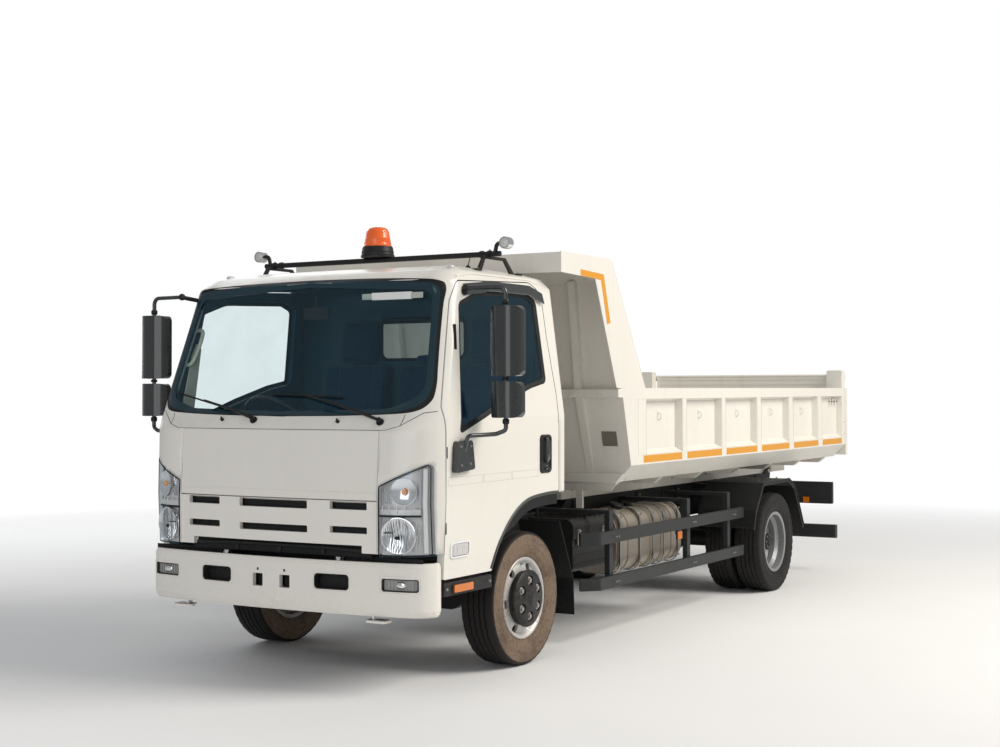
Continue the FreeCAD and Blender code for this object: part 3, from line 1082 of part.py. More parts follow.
def hoist():
    """Telescopic hoist: the barrel on its trunnions and the rod up to its eye."""
    base = V(0, *HOIST_BASE)
    eye = V(0, *HOIST_EYE)
    line = (eye - base).normalize()
    barrel_end = base + line * ((eye - base).Length - 150)
    barrel = rod_between(base + line * 40, barrel_end, BARREL_R)
    barrel = barrel.fuse(rod_x(-TRUNNION_HALF, TRUNNION_HALF, base.y, base.z, 52))
    bore = rod_between(base + line * 200, eye, ROD_R + FIT)
    barrel = barrel.cut(bore)
    rod = rod_between(base + line * 215, eye - line * 30, ROD_R)
    rod = rod.fuse(rod_x(-34, 34, eye.y, eye.z, 46))
    return barrel, rod


# ---------------------------------------------------------------- all pieces
save("chassis_frame", chassis_frame())
save("engine_block", engine_block())
save("front_axle", front_axle())
save("rear_axle", rear_axle())
save("leaf_springs", leaf_springs())
save("propeller_shaft", propeller_shaft())
save("front_bumper", front_bumper())
save("entry_steps", entry_steps())
save("fuel_tank", fuel_tank())
save("battery_box", battery_box())
save("exhaust", exhaust())
save("side_guards", side_guards())
save("rear_fenders", rear_fenders())
save("front_splash_guards", front_splash_guards())
save("tail_bar", tail_bar())

cab = build_cab()
cab["cab_shell"] = fuse([cab["cab_shell"]] + cab_hinges())
for name, shape in cab.items():
    save(name, shape)
room = cab_loft(WALL + FIT)
skin = cab_loft(0)
save("dashboard", dashboard(room))
save("steering_wheel", steering_wheel())
save("seat_frame", seat_frame(above(FLOOR_LINE, FLOOR_T + FIT)))
save("seat_cushions", seat_cushions())
save("seat_backs", seat_backs())
save("roof_bar", roof_bar(skin))
save("beacon", beacon())
save("mirrors_left", mirrors(1, skin))
save("mirrors_right", mirrors(-1, skin))
save("wipers", wipers(skin))

for side, word in ((1, "left"), (-1, "right")):
    save("knuckle_%s" % word, knuckle(side))
    save("front_tyre_%s" % word, on_side(side, spun_x(tyre(FRONT_WHEEL_X), 0, WHEEL_Z)))
    save("front_rim_%s" % word, on_side(side, front_rim()))
    pair = [spun_x(tyre(DUAL_X + k * DUAL_SPACING / 2), WHEELBASE, WHEEL_Z) for k in (-1, 1)]
    save("rear_tyres_%s" % word, on_side(side, Part.makeCompound(pair)))
    save("rear_rims_%s" % word, on_side(side, rear_rims()))

save("dump_tub", dump_tub())
save("headboard", headboard())
save("tailgate", tailgate())
barrel, rod = hoist()
save("hoist_barrel", barrel)
save("hoist_rod", rod)
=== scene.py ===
import math
from functools import partial

import bmesh
import bpy
from mathutils import Matrix, Vector
from mathutils.bvhtree import BVHTree


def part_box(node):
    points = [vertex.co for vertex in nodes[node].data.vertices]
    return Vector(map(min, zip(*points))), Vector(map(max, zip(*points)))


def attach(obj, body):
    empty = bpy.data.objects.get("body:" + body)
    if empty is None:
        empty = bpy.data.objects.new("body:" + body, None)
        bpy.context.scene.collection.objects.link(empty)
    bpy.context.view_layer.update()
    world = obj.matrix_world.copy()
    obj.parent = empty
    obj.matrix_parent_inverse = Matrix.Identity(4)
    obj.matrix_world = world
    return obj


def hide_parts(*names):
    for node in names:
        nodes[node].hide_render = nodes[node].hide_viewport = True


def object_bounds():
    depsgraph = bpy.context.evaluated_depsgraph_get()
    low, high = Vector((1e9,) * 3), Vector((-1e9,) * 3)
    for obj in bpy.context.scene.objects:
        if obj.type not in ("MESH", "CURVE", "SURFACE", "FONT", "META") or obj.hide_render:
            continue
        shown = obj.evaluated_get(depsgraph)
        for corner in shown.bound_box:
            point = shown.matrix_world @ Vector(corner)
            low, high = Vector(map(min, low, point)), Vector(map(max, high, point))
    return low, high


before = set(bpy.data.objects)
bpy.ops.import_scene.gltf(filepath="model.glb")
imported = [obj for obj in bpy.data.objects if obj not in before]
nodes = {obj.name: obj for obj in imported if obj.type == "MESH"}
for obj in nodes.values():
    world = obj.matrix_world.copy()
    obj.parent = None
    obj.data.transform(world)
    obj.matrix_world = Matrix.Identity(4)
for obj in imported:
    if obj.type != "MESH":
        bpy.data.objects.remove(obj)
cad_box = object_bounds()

# Places are in metres, with x to the truck's left, y to the rear from the front axle and z up
# from the ground.  at() turns such a place into the frame's own coordinates.
low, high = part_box("front_tyre_left")
AXLE_Y = (low.y + high.y) / 2
TYRE_RADIUS = (high.z - low.z) / 2
FRONT_X = (low.x + high.x) / 2
low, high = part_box("rear_tyres_left")
REAR_Y = (low.y + high.y) / 2 - AXLE_Y
DUAL_OFFSET = 0.1215     # from the middle of a pair of rear tyres to the middle of each
DUAL_X = tuple((low.x + high.x) / 2 + sign * DUAL_OFFSET for sign in (-1, 1))
CAB_MIDDLE = (0.0, -0.30, 1.55)
WELD = 0.0002            # nearer corners than this in a CAD mesh are one corner
FINE_WELD = 0.00005      # the same in the cab's thin shell
SIDES = (1, -1)          # the truck's left and right


def at(x, y, z):
    """The frame's own coordinates of a place."""
    return Vector((x, y + AXLE_Y, z))


def placed(made):
    """Put an object into the scene."""
    bpy.context.scene.collection.objects.link(made)
    return made


# ---------------------------------------------------------------- materials
class Tree:
    """A node material, built by add(kind, inputs, settings); a socket given as an input is linked."""

    def __init__(self, name):
        self.material = bpy.data.materials.new(name)
        self.material.use_nodes = True
        self.tree = self.material.node_tree
        self.tree.nodes.clear()
        self.place = self.add("TexCoord").outputs["Object"]

    def add(self, kind, inputs=None, **settings):
        node = self.tree.nodes.new("ShaderNode" + kind)
        for key, value in settings.items():
            setattr(node, key, value)
        for key, value in (inputs or {}).items():
            if isinstance(value, bpy.types.NodeSocket):
                self.tree.links.new(value, node.inputs[key])
            else:
                node.inputs[key].default_value = value
        return node

    def math(self, operation, a, b=0.0):
        """Two values joined by an operation, kept between 0 and 1."""
        return self.add("Math", {0: a, 1: b}, operation=operation, use_clamp=True).outputs[0]

    def fade(self, value, start, end):
        """0 at start, 1 at end."""
        node = self.add("MapRange", {"Value": value, "From Min": start, "From Max": end})
        return node.outputs[0]

    def along(self, axis):
        """The object's own coordinate on an axis."""
        return self.add("SeparateXYZ", {0: self.place}).outputs[axis]

    def noise(self, scale, start=0.35, end=0.65, stretch=None):
        """Cloudy pattern that runs from 0 to 1 as the noise runs from start to end."""
        place = self.place
        if stretch:
            place = self.add("Mapping", {"Vector": place, "Scale": stretch}).outputs[0]
        node = self.add("TexNoise", {"Vector": place, "Scale": scale, "Detail": 5.0})
        return self.fade(node.outputs[0], start, end)

    def mix(self, factor, a, b):
        """Colour a where the factor is 0, and b where it is 1."""
        node = self.add("Mix", data_type="RGBA")
        for index, value in ((0, factor), (6, a), (7, b)):
            if isinstance(value, bpy.types.NodeSocket):
                self.tree.links.new(value, node.inputs[index])
            elif index == 0:
                node.inputs[index].default_value = value
            else:
                node.inputs[index].default_value = (*value[:3], 1.0)
        return node.outputs[2]

    def bump(self, height, strength, distance=0.002):
        return self.add("Bump", {"Height": height, "Strength": strength, "Distance": distance}).outputs[0]

    def shader(self, **inputs):
        names = {key.replace("_", " "): value for key, value in inputs.items()}
        if not isinstance(names["Base Color"], bpy.types.NodeSocket):
            names["Base Color"] = (*names["Base Color"], 1.0)
        return self.add("BsdfPrincipled", names).outputs[0]

    def done(self, shader):
        self.add("OutputMaterial", {"Surface": shader})
        return self.material


def surface(name, colour, rough, dust=(0.30, 0.25, 0.19), dusty=0.5, below=0.9, metal=0.0, coat=0.0,
            grain=0.0, grain_scale=900.0, streaks=0.0, lining=None, shine=0.5):
    """Everyday finish: dust that thickens downwards from a height, streaks, and a fine grain.

    A lining is the colour of the faces that look in towards the cab's middle.
    """
    t = Tree(name)
    cloud = t.noise(3.0, 0.3, 0.7)
    fine = t.noise(45.0, 0.35, 0.75)
    lowness = t.fade(t.along("Z"), below, 0.1)
    amount = t.math("MULTIPLY", t.math("ADD", lowness, 0.12), t.math("MULTIPLY", cloud, fine))
    amount = t.math("MULTIPLY", amount, dusty)
    base = t.mix(amount, colour, dust)
    if streaks:
        run = t.noise(14.0, 0.55, 0.8, stretch=(1.0, 1.0, 0.06))
        base = t.mix(t.math("MULTIPLY", run, streaks), base, (0.42, 0.38, 0.31))
    shade = t.mix(t.math("MULTIPLY", t.noise(1.4), 0.10), base, tuple(c * 0.72 for c in colour))
    roughness = t.math("ADD", t.math("MULTIPLY", amount, 0.5), rough)
    if lining:
        offset = t.add("VectorMath", {0: t.place, 1: at(*CAB_MIDDLE)}, operation="SUBTRACT").outputs[0]
        facing = t.add("TexCoord").outputs["Normal"]
        away = t.add("VectorMath", {0: offset, 1: facing}, operation="DOT_PRODUCT").outputs["Value"]
        inside = t.fade(away, 0.0, -0.05)
        shade = t.mix(inside, shade, lining)
        roughness = t.math("ADD", roughness, t.math("MULTIPLY", inside, 0.5))
    extra = {"Specular_IOR_Level": shine}
    if grain:
        speck = t.add("TexNoise", {"Vector": t.place, "Scale": grain_scale, "Detail": 2.0}).outputs[0]
        extra["Normal"] = t.bump(speck, grain, 0.0006)
    if coat:
        extra["Coat_Weight"] = coat
        extra["Coat_Roughness"] = 0.06
    return t.done(t.shader(Base_Color=shade, Roughness=roughness, Metallic=metal, **extra))


def pane(name, tint, gloss, rough=0.02):
    """Thin glass: light goes straight through it, tinted, under a faint reflection."""
    t = Tree(name)
    smear = t.mix(t.noise(6.0, 0.3, 0.8), tint, tuple(c * 0.98 for c in tint))
    through = t.add("BsdfTransparent", {"Color": smear}).outputs[0]
    shine = t.add("BsdfGlossy", {"Color": (0.5, 0.8, 1.0, 1.0), "Roughness": rough}).outputs[0]
    edge = t.add("LayerWeight", {"Blend": 0.5}).outputs["Facing"]
    edge = t.math("POWER", edge, 5.0)
    factor = t.math("MULTIPLY", t.math("ADD", t.math("MULTIPLY", edge, 0.8), 0.03), gloss)
    return t.done(t.add("MixShader", {0: factor, 1: through, 2: shine}).outputs[0])


def rubber(name, colour, dust, amount, tread=1.0):
    """Tyre rubber with dust caked on its walls, and a share of it on the tread."""
    t = Tree(name)
    cake = t.math("MULTIPLY", t.noise(7.0, 0.25, 0.6), t.noise(60.0, 0.2, 0.7))
    cake = t.math("MULTIPLY", t.math("ADD", cake, 0.35), amount)
    facing = t.add("SeparateXYZ", {0: t.add("TexCoord").outputs["Normal"]}).outputs["X"]
    wall = t.math("ADD", t.math("MULTIPLY", t.fade(t.math("ABSOLUTE", facing), 0.25, 0.6), 1.0 - tread),
                  tread)
    cake = t.math("MULTIPLY", cake, wall)
    base = t.mix(cake, colour, dust)
    rough = t.math("ADD", t.math("MULTIPLY", cake, 0.3), 0.6)
    speck = t.add("TexNoise", {"Vector": t.place, "Scale": 300.0, "Detail": 3.0}).outputs[0]
    return t.done(t.shader(Base_Color=base, Roughness=rough, Specular_IOR_Level=0.2,
                           Normal=t.bump(speck, 0.35, 0.001)))


def lens(name, colour, rough=0.08, glow=0.0):
    """Coloured lamp plastic with fine upright flutes."""
    t = Tree(name)
    flute = t.add("TexWave", {"Vector": t.place, "Scale": 60.0}, bands_direction="DIAGONAL").outputs[1]
    base = t.mix(t.math("MULTIPLY", flute, 0.25), colour, tuple(c * 0.55 for c in colour))
    extra = {"Emission_Color": (*colour, 1.0), "Emission_Strength": glow} if glow else {}
    return t.done(t.shader(Base_Color=base, Roughness=rough, Coat_Weight=0.6, Coat_Roughness=0.04,
                           Normal=t.bump(flute, 0.25, 0.002), **extra))


def cloth(name, colour, other):
    """Woven cloth in two shades."""
    t = Tree(name)
    weave = t.add("TexWave", {"Vector": t.place, "Scale": 180.0, "Distortion": 1.5}).outputs[1]
    check = t.add("TexChecker", {"Vector": t.place, "Scale": 260.0}).outputs[1]
    both = t.math("MULTIPLY", t.math("ADD", weave, check), 0.5)
    base = t.mix(both, colour, other)
    return t.done(t.shader(Base_Color=base, Roughness=0.92, Sheen_Weight=0.1, Specular_IOR_Level=0.2,
                           Normal=t.bump(both, 0.5, 0.001)))


CAB_PAINT = dict(colour=(0.80, 0.775, 0.715), rough=0.30, dusty=0.22, coat=0.20, streaks=0.05)
CREAM = surface("cab_paint", **CAB_PAINT)
LINED = surface("cab_paint_lined", **CAB_PAINT, lining=(0.006, 0.050, 0.080))
BODY = surface("body_paint", (0.78, 0.755, 0.69), 0.38, dusty=0.35, below=1.5, coat=0.12, streaks=0.16,
               grain=0.06, grain_scale=350.0)
FRAME = surface("chassis_paint", (0.012, 0.0135, 0.014), 0.42, dusty=0.10, below=1.0, grain=0.1, shine=0.22)
GUARD = surface("guard_paint", (0.026, 0.029, 0.030), 0.40, dusty=0.12, below=0.8, shine=0.22)
PLASTIC = surface("black_plastic", (0.016, 0.017, 0.018), 0.42, dusty=0.3, grain=0.25, shine=0.22)
GLOSS = surface("charcoal_gloss", (0.022, 0.027, 0.028), 0.22, dusty=0.12, below=2.6, coat=0.5)
SEAL = surface("seal_rubber", (0.010, 0.011, 0.012), 0.55, dusty=0.15, grain=0.15, shine=0.22)
SILVER = surface("wheel_silver", (0.60, 0.595, 0.58), 0.40, dust=(0.30, 0.22, 0.15), dusty=0.9, metal=0.45)
# rear rims: a darker copy of the front rims' silver, its dust darkened too; painted shade, as the rear wheels
# sit in shade
SHADED_SILVER = surface("rear_wheel_silver_painted_shade", (0.30, 0.31, 0.32), 0.42, dust=(0.16, 0.14, 0.12), dusty=0.9,
                      metal=0.45)
CHROME = surface("chrome", (0.86, 0.87, 0.88), 0.10, dusty=0.05, metal=1.0)
MIRROR = surface("reflector", (0.90, 0.91, 0.92), 0.16, dusty=0.0, metal=1.0)
# fuel tank: silver darkened and tinted brown, a painted reflection standing for the brownish reflection seen
# on the tank; the dust and streaks over it are dirt
TANK_PAINTED_REFLECTION = surface("tank_metal", (0.43, 0.385, 0.33), 0.42, dust=(0.20, 0.15, 0.10), dusty=0.9, metal=0.85,
               grain=0.12, grain_scale=260.0, streaks=0.25)
STEEL = surface("steel", (0.42, 0.41, 0.39), 0.40, dust=(0.22, 0.13, 0.07), dusty=0.8, metal=0.9)
IRON = surface("engine_iron", (0.07, 0.068, 0.065), 0.6, dusty=0.7, below=1.5, grain=0.3)
GREY = surface("grey_trim", (0.010, 0.042, 0.062), 0.6, dusty=0.1, below=2.6, grain=0.2, shine=0.22)
LINING = surface("roof_lining", (0.026, 0.075, 0.094), 0.85, dusty=0.05, below=2.6, grain=0.2, shine=0.22)
TYRE_F = rubber("tyre_dusty", (0.014, 0.014, 0.014), (0.20, 0.145, 0.105), 1.1, tread=0.4)
TREAD = rubber("tyre_tread", (0.010, 0.010, 0.011), (0.12, 0.09, 0.07), 0.10)
TYRE_R = rubber("tyre_dark", (0.009, 0.010, 0.011), (0.10, 0.085, 0.07), 0.14)
SCREEN = pane("windscreen_glass", (0.93, 0.975, 0.98), 1.0)
WINDOW = pane("window_glass", (0.965, 0.98, 0.98), 1.0)
CLEAR = pane("clear_lens", (0.95, 0.96, 0.97), 0.9, 0.04)
AMBER = lens("amber_lens", (0.66, 0.17, 0.004), glow=0.02)
BEACON = lens("beacon_lens", (0.86, 0.13, 0.012), glow=0.10)
RED = lens("red_lens", (0.55, 0.012, 0.010))
# the tape's faint glow is painted light: reflective tape is no lamp
TAPE = lens("yellow_tape", (0.78, 0.33, 0.004), rough=0.35, glow=0.02)
BULB = lens("bulb_amber", (0.95, 0.35, 0.06))
FABRIC = cloth("seat_fabric", (0.004, 0.026, 0.056), (0.010, 0.050, 0.095))
WHITE = surface("white_plastic", (0.78, 0.78, 0.76), 0.5, dusty=0.1, below=2.6)
STRIP_GREY = surface("strip_grey", (0.66, 0.655, 0.60), 0.6, dusty=0.2)


# ---------------------------------------------------------------- shapes
def arc(cx, cy, r, start, end, steps):
    """Points round part of a circle, angles in degrees."""
    out = []
    for k in range(steps + 1):
        a = math.radians(start + (end - start) * k / steps)
        out.append((cx + r * math.cos(a), cy + r * math.sin(a)))
    return out


def rounded(x0, x1, y0, y1, r, steps=5):
    """Rectangle with round corners, as 2-D points."""
    return (arc(x1 - r, y1 - r, r, 0, 90, steps) + arc(x0 + r, y1 - r, r, 90, 180, steps)
            + arc(x0 + r, y0 + r, r, 180, 270, steps) + arc(x1 - r, y0 + r, r, 270, 360, steps))


def smooth_path(points, steps=6):
    """Points along a curve that passes through the given ones."""
    pts = [Vector(p) for p in points]
    out = []
    for i in range(len(pts) - 1):
        a, b = pts[max(i - 1, 0)], pts[i]
        c, d = pts[i + 1], pts[min(i + 2, len(pts) - 1)]
        for k in range(steps):
            t = k / steps
            out.append(0.5 * (2 * b + (c - a) * t + (2 * a - 5 * b + 4 * c - d) * t * t
                              + (3 * b - 3 * c + d - a) * t ** 3))
    return out + [pts[-1]]


X, Y, Z = (Vector(v) for v in ((1, 0, 0), (0, 1, 0), (0, 0, 1)))
AXES = {"x": (X, Y, Z), "y": (Y, X, Z), "z": (Z, X, Y)}
CREASE = 34.0            # degrees; sharper edges are shaded as edges
SHARP = 0.6              # radians; sharper edges are bevelled


class Shape:
    """Solids gathered into one mesh, each with its own material."""

    def __init__(self):
        self.mesh = bmesh.new()
        self.materials = []

    def take(self, part, material, bevel=0.0, segments=2):
        """Add a part's mesh in one material, its sharp edges bevelled if asked."""
        if bevel:
            sharp = [e for e in part.edges if len(e.link_faces) == 2 and e.calc_face_angle(0) > SHARP]
            bmesh.ops.bevel(part, geom=sharp, offset=bevel, segments=segments, profile=0.5,
                            affect="EDGES", clamp_overlap=True)
        bmesh.ops.recalc_face_normals(part, faces=part.faces)
        if material not in self.materials:
            self.materials.append(material)
        for face in part.faces:
            face.material_index = self.materials.index(material)
        copy = bpy.data.meshes.new("part")
        part.to_mesh(copy)
        part.free()
        self.mesh.from_mesh(copy)
        bpy.data.meshes.remove(copy)

    def loft(self, rings, material, ring_round=False, bevel=0.0, segments=2):
        """Skin through rings of equally many points; ring_round joins the last to the first."""
        part = bmesh.new()
        rows = [[part.verts.new(p) for p in ring] for ring in rings]
        pairs = list(zip(rows, rows[1:])) + ([(rows[-1], rows[0])] if ring_round else [])
        count = len(rows[0])
        for a, b in pairs:
            for i in range(count):
                j = (i + 1) % count
                part.faces.new((a[i], a[j], b[j], b[i]))
        if not ring_round:
            part.faces.new(rows[0])
            part.faces.new(rows[-1])
        self.take(part, material, bevel, segments)

    def box(self, x0, x1, y0, y1, z0, z1, material, bevel=0.0, segments=2):
        """Box between two ends along each axis."""
        x0, x1 = sorted((x0, x1))
        ring = [(x0, y0), (x1, y0), (x1, y1), (x0, y1)]
        self.loft([[Vector((a, b, z)) for a, b in ring] for z in (z0, z1)], material, bevel=bevel,
                  segments=segments)

    def prism(self, points, axis, low, high, material, bevel=0.0):
        """Outline in the two other axes (in x, y, z order), from low to high along axis."""
        n, u, v = AXES[axis]
        self.loft([[u * a + v * b + n * c for a, b in points] for c in sorted((low, high))], material,
                  bevel=bevel)

    def boxes(self, count, axis, step, ends, material, bevel=0.0):
        """Box with the ends x0, x1, y0, y1, z0, z1, and others like it at steps along an axis."""
        first = 2 * "xyz".index(axis)
        for k in range(count):
            moved = [end + step * k * (index in (first, first + 1)) for index, end in enumerate(ends)]
            self.box(*moved, material, bevel)

    def lathe(self, profile, centre, axis, material, steps, closed=False):
        """Turn (distance along, radius) points about an axis through centre.

        A closed profile is turned as it is; any other is first closed off at the axis.
        """
        n, u, v = axis if isinstance(axis, tuple) else AXES[axis]
        if not closed:
            first, last = ([(p, 0.0)] if r else [] for p, r in (profile[0], profile[-1]))
            profile = [*first, *profile, *last]
        rings = []
        for k in range(steps):
            a = math.radians(360.0 * k / steps)
            out = u * math.cos(a) + v * math.sin(a)
            rings.append([Vector(centre) + n * p + out * r for p, r in profile])
        self.loft(rings, material, ring_round=True)

    def rod(self, start, end, r, material, steps=12, bevel=0.0, r2=None):
        """Round bar from start to end; r2 is its radius at the end, if another."""
        start, end = Vector(start), Vector(end)
        n = (end - start).normalized()
        u = n.orthogonal().normalized()
        v = n.cross(u)
        rings = []
        for point, radius in ((start, r), (end, r if r2 is None else r2)):
            rings.append([point + (u * math.cos(a) + v * math.sin(a)) * radius
                          for a in (math.tau * k / steps for k in range(steps))])
        self.loft(rings, material, bevel=bevel)

    def tube(self, points, r, material, steps=8, closed=False, flat=None):
        """Round section along points, or a flat one of (width, thickness, face direction)."""
        pts = [Vector(p) for p in points]
        count = len(pts)
        rings = []
        side = None
        for i, p in enumerate(pts):
            before = pts[i - 1] if (i or closed) else p
            after = pts[(i + 1) % count] if (i < count - 1 or closed) else p
            n = (after - before).normalized()
            if flat:
                face = Vector(flat[2][i]) if isinstance(flat[2], list) else Vector(flat[2])
                across = n.cross(face).normalized() * flat[0] / 2
                up = across.cross(n).normalized() * flat[1]
                rings.append([p - across, p + across, p + across * 0.86 + up, p - across * 0.86 + up])
                continue
            side = n.orthogonal().normalized() if side is None else (side - n * side.dot(n)).normalized()
            other = n.cross(side)
            rings.append([p + (side * math.cos(a) + other * math.sin(a)) * r
                          for a in (math.tau * k / steps for k in range(steps))])
        self.loft(rings, material, ring_round=closed)

    def ball(self, centre, r, material, squash=(1, 1, 1), steps=12):
        """Ball, squashed along the axes if asked."""
        part = bmesh.new()
        bmesh.ops.create_uvsphere(part, u_segments=steps, v_segments=steps // 2 + 1, radius=r)
        for vert in part.verts:
            vert.co = Vector(centre) + Vector(a * b for a, b in zip(vert.co, squash))
        self.take(part, material)

    def bolt(self, place, direction, size, material=STEEL):
        """Washer and six-sided head."""
        place, direction = Vector(place), Vector(direction).normalized()
        self.rod(place, place + direction * size * 0.18, size * 0.62, material)
        self.rod(place, place + direction * size * 0.68, size * 0.5, material, 6)

    def stub(self, spot, normal, start, end, r, material, steps=12, bevel=0.0):
        """Rod that stands on a place, from start to end along its normal."""
        self.rod(spot + normal * start, spot + normal * end, r, material, steps, bevel)

    def flip(self):
        """Turn the mesh into its mirror image on the other side of the truck."""
        for vert in self.mesh.verts:
            vert.co.x = -vert.co.x
        bmesh.ops.reverse_faces(self.mesh, faces=self.mesh.faces)

    def piece(self, name, body, slot="trim_black", stands_for=()):
        """Make the object; it rides the body and replaces the nodes that it stands for."""
        for vert in self.mesh.verts:
            vert.co.y += AXLE_Y
        data = bpy.data.meshes.new(name)
        self.mesh.to_mesh(data)
        self.mesh.free()
        for material in self.materials:
            data.materials.append(material)
        data.shade_smooth()
        data.set_sharp_from_angle(angle=math.radians(CREASE))
        made = placed(bpy.data.objects.new(name, data))
        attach(made, body)
        if stands_for:
            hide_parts(*stands_for)


WORDS = ("left", "right")
FRONT_WHEELS = ("front_wheel_left", "front_wheel_right")
REAR_WHEELS = ("rear_wheels_left", "rear_wheels_right")
DOORS = ("door_left", "door_right")


def one_piece(build, name, body, slot="trim_black", stands_for=()):
    """A piece that a builder fills, with everything it has on either side."""
    shape = Shape()
    build(shape)
    shape.piece(name, body, slot, stands_for)


def both_sides(build, name, bodies, slot="trim_black", stands_for=None):
    """The same piece on the left and, mirrored, on the right; a lone body carries both."""
    bodies = (bodies, bodies) if isinstance(bodies, str) else bodies
    for word, body in zip(WORDS, bodies):
        shape = Shape()
        build(shape)
        if word == "right":
            shape.flip()
        gone = (stands_for + "_" + word,) if stands_for else ()
        shape.piece(name + "_" + word, body, slot, gone)


# ---------------------------------------------------------------- finding the skin
trees = {}


def skin(x, y, z, direction, names):
    """The first point of the named nodes from a place along a direction, and its normal."""
    best = None
    for name in names:
        if name not in trees:
            mesh = nodes[name].data
            trees[name] = BVHTree.FromPolygons([v.co for v in mesh.vertices],
                                               [p.vertices for p in mesh.polygons])
        point, normal, _, distance = trees[name].ray_cast(at(x, y, z), Vector(direction))
        if point and (best is None or distance < best[2]):
            best = (point - Vector((0, AXLE_Y, 0)), normal, distance)
    return best


def front(x, z, names=("cab_shell", "front_lid", "grille")):
    """Point on the cab's front at x, z, and the outward direction there."""
    found = skin(x, -2.0, z, (0, 1, 0), names)
    return (found[0], found[1]) if found else (Vector((x, -1.1, z)), Vector((0, -1, 0)))


def side(y, z, names=("door_left", "cab_shell")):
    """Point on the truck's left side at y, z, and the outward direction there."""
    found = skin(1.6, y, z, (-1, 0, 0), names)
    return (found[0], found[1]) if found else (Vector((1.0, y, z)), Vector((1, 0, 0)))


def roof(x, y):
    """Point on the cab's roof at x, y."""
    return skin(x, y, 3.0, (0, 0, -1), ("cab_shell",))[0]


on_shell = partial(front, names=("cab_shell",))
on_lamp = partial(front, names=("headlamps",))
on_glass = partial(front, names=("cab_glass",))
on_board = partial(front, names=("headboard",))


def follow(points, finder, lift=0.0, step=0.02, closed=False):
    """2-D points joined by straight runs, laid on the skin and lifted off it: points, normals."""
    spots, normals = [], []
    ends = list(zip(points, points[1:])) + ([(points[-1], points[0])] if closed else [])
    for a, b in ends:
        a, b = Vector(a), Vector(b)
        count = max(1, int((b - a).length / step))
        for k in range(count):
            p = a.lerp(b, k / count)
            spot, normal = finder(p.x, p.y)
            spots.append(spot + normal * lift)
            normals.append(normal)
    if not closed:
        spot, normal = finder(*points[-1])
        spots.append(spot + normal * lift)
        normals.append(normal)
    return spots, normals


def strip(shape, points, finder, width, thick, material, lift=0.0, closed=False, step=0.02):
    """Flat band along points on the skin."""
    spots, normals = follow(points, finder, lift, step, closed)
    shape.tube(spots, 0, material, closed=closed, flat=(width, thick, normals))


def patch(shape, corners, finder, material, lift=0.001, thick=0.002, count=(12, 12)):
    """Four-cornered skin panel; corners go round in 2-D."""
    a, b, c, d = (Vector(p) for p in corners)
    part = bmesh.new()
    outer, inner = [], []
    for i in range(count[0] + 1):
        u = i / count[0]
        for k in range(count[1] + 1):
            p = a.lerp(b, u).lerp(d.lerp(c, u), k / count[1])
            spot, normal = finder(p.x, p.y)
            outer.append(part.verts.new(spot + normal * (lift + thick)))
            inner.append(part.verts.new(spot + normal * lift))
    n = count[1] + 1
    rim = (list(range(n)) + [i * n + n - 1 for i in range(1, count[0] + 1)]
           + [count[0] * n + k for k in range(n - 2, -1, -1)] + [i * n for i in range(count[0] - 1, 0, -1)])
    for i in range(count[0]):
        for k in range(count[1]):
            quad = (i * n + k, i * n + k + 1, (i + 1) * n + k + 1, (i + 1) * n + k)
            part.faces.new([outer[q] for q in quad])
            part.faces.new([inner[q] for q in reversed(quad)])
    for a, b in zip(rim, rim[1:] + rim[:1]):
        part.faces.new((outer[a], inner[a], inner[b], outer[b]))
    shape.take(part, material)


def dress(material, *names):
    """Give nodes of the CAD frame a material."""
    for name in names:
        node = nodes[name]
        if not node.data.materials:
            node.data.materials.append(material)
        for slot in node.material_slots:
            slot.material = material


dress(CREAM, "front_lid", "grille", "front_bumper")
dress(LINED, "cab_shell", "door_left", "door_right")
dress(BODY, "dump_tub", "headboard", "tailgate")
dress(FRAME, "chassis_frame", "front_axle", "rear_axle", "leaf_springs", "propeller_shaft",
      "rear_fenders", "front_splash_guards", "knuckle_left", "knuckle_right", "hoist_barrel")
dress(GUARD, "side_guards", "tail_bar")
dress(PLASTIC, "entry_steps", "battery_box", "roof_bar", "steering_wheel", "beacon")
dress(GLOSS, "mirrors_left", "mirrors_right")
dress(SILVER, "front_rim_left", "front_rim_right")
# the rear rims take the darkened silver, which paints their shade
dress(SHADED_SILVER, "rear_rims_left", "rear_rims_right")
dress(STEEL, "exhaust", "hoist_rod")
# the tank's brown tint is a painted reflection
dress(TANK_PAINTED_REFLECTION, "fuel_tank")
dress(IRON, "engine_block")
dress(GREY, "dashboard", "seat_frame")
dress(SCREEN, "cab_glass")
dress(WINDOW, "door_glass_left", "door_glass_right")
dress(CLEAR, "headlamps")


# ---------------------------------------------------------------- wheels
def disc_places(x, r, count, turn=0.0, y=0.0):
    """Points on a circle about an axle, at a distance across the truck."""
    for k in range(count):
        a = math.tau * k / count + turn
        yield Vector((x, y + r * math.cos(a), TYRE_RADIUS + r * math.sin(a)))


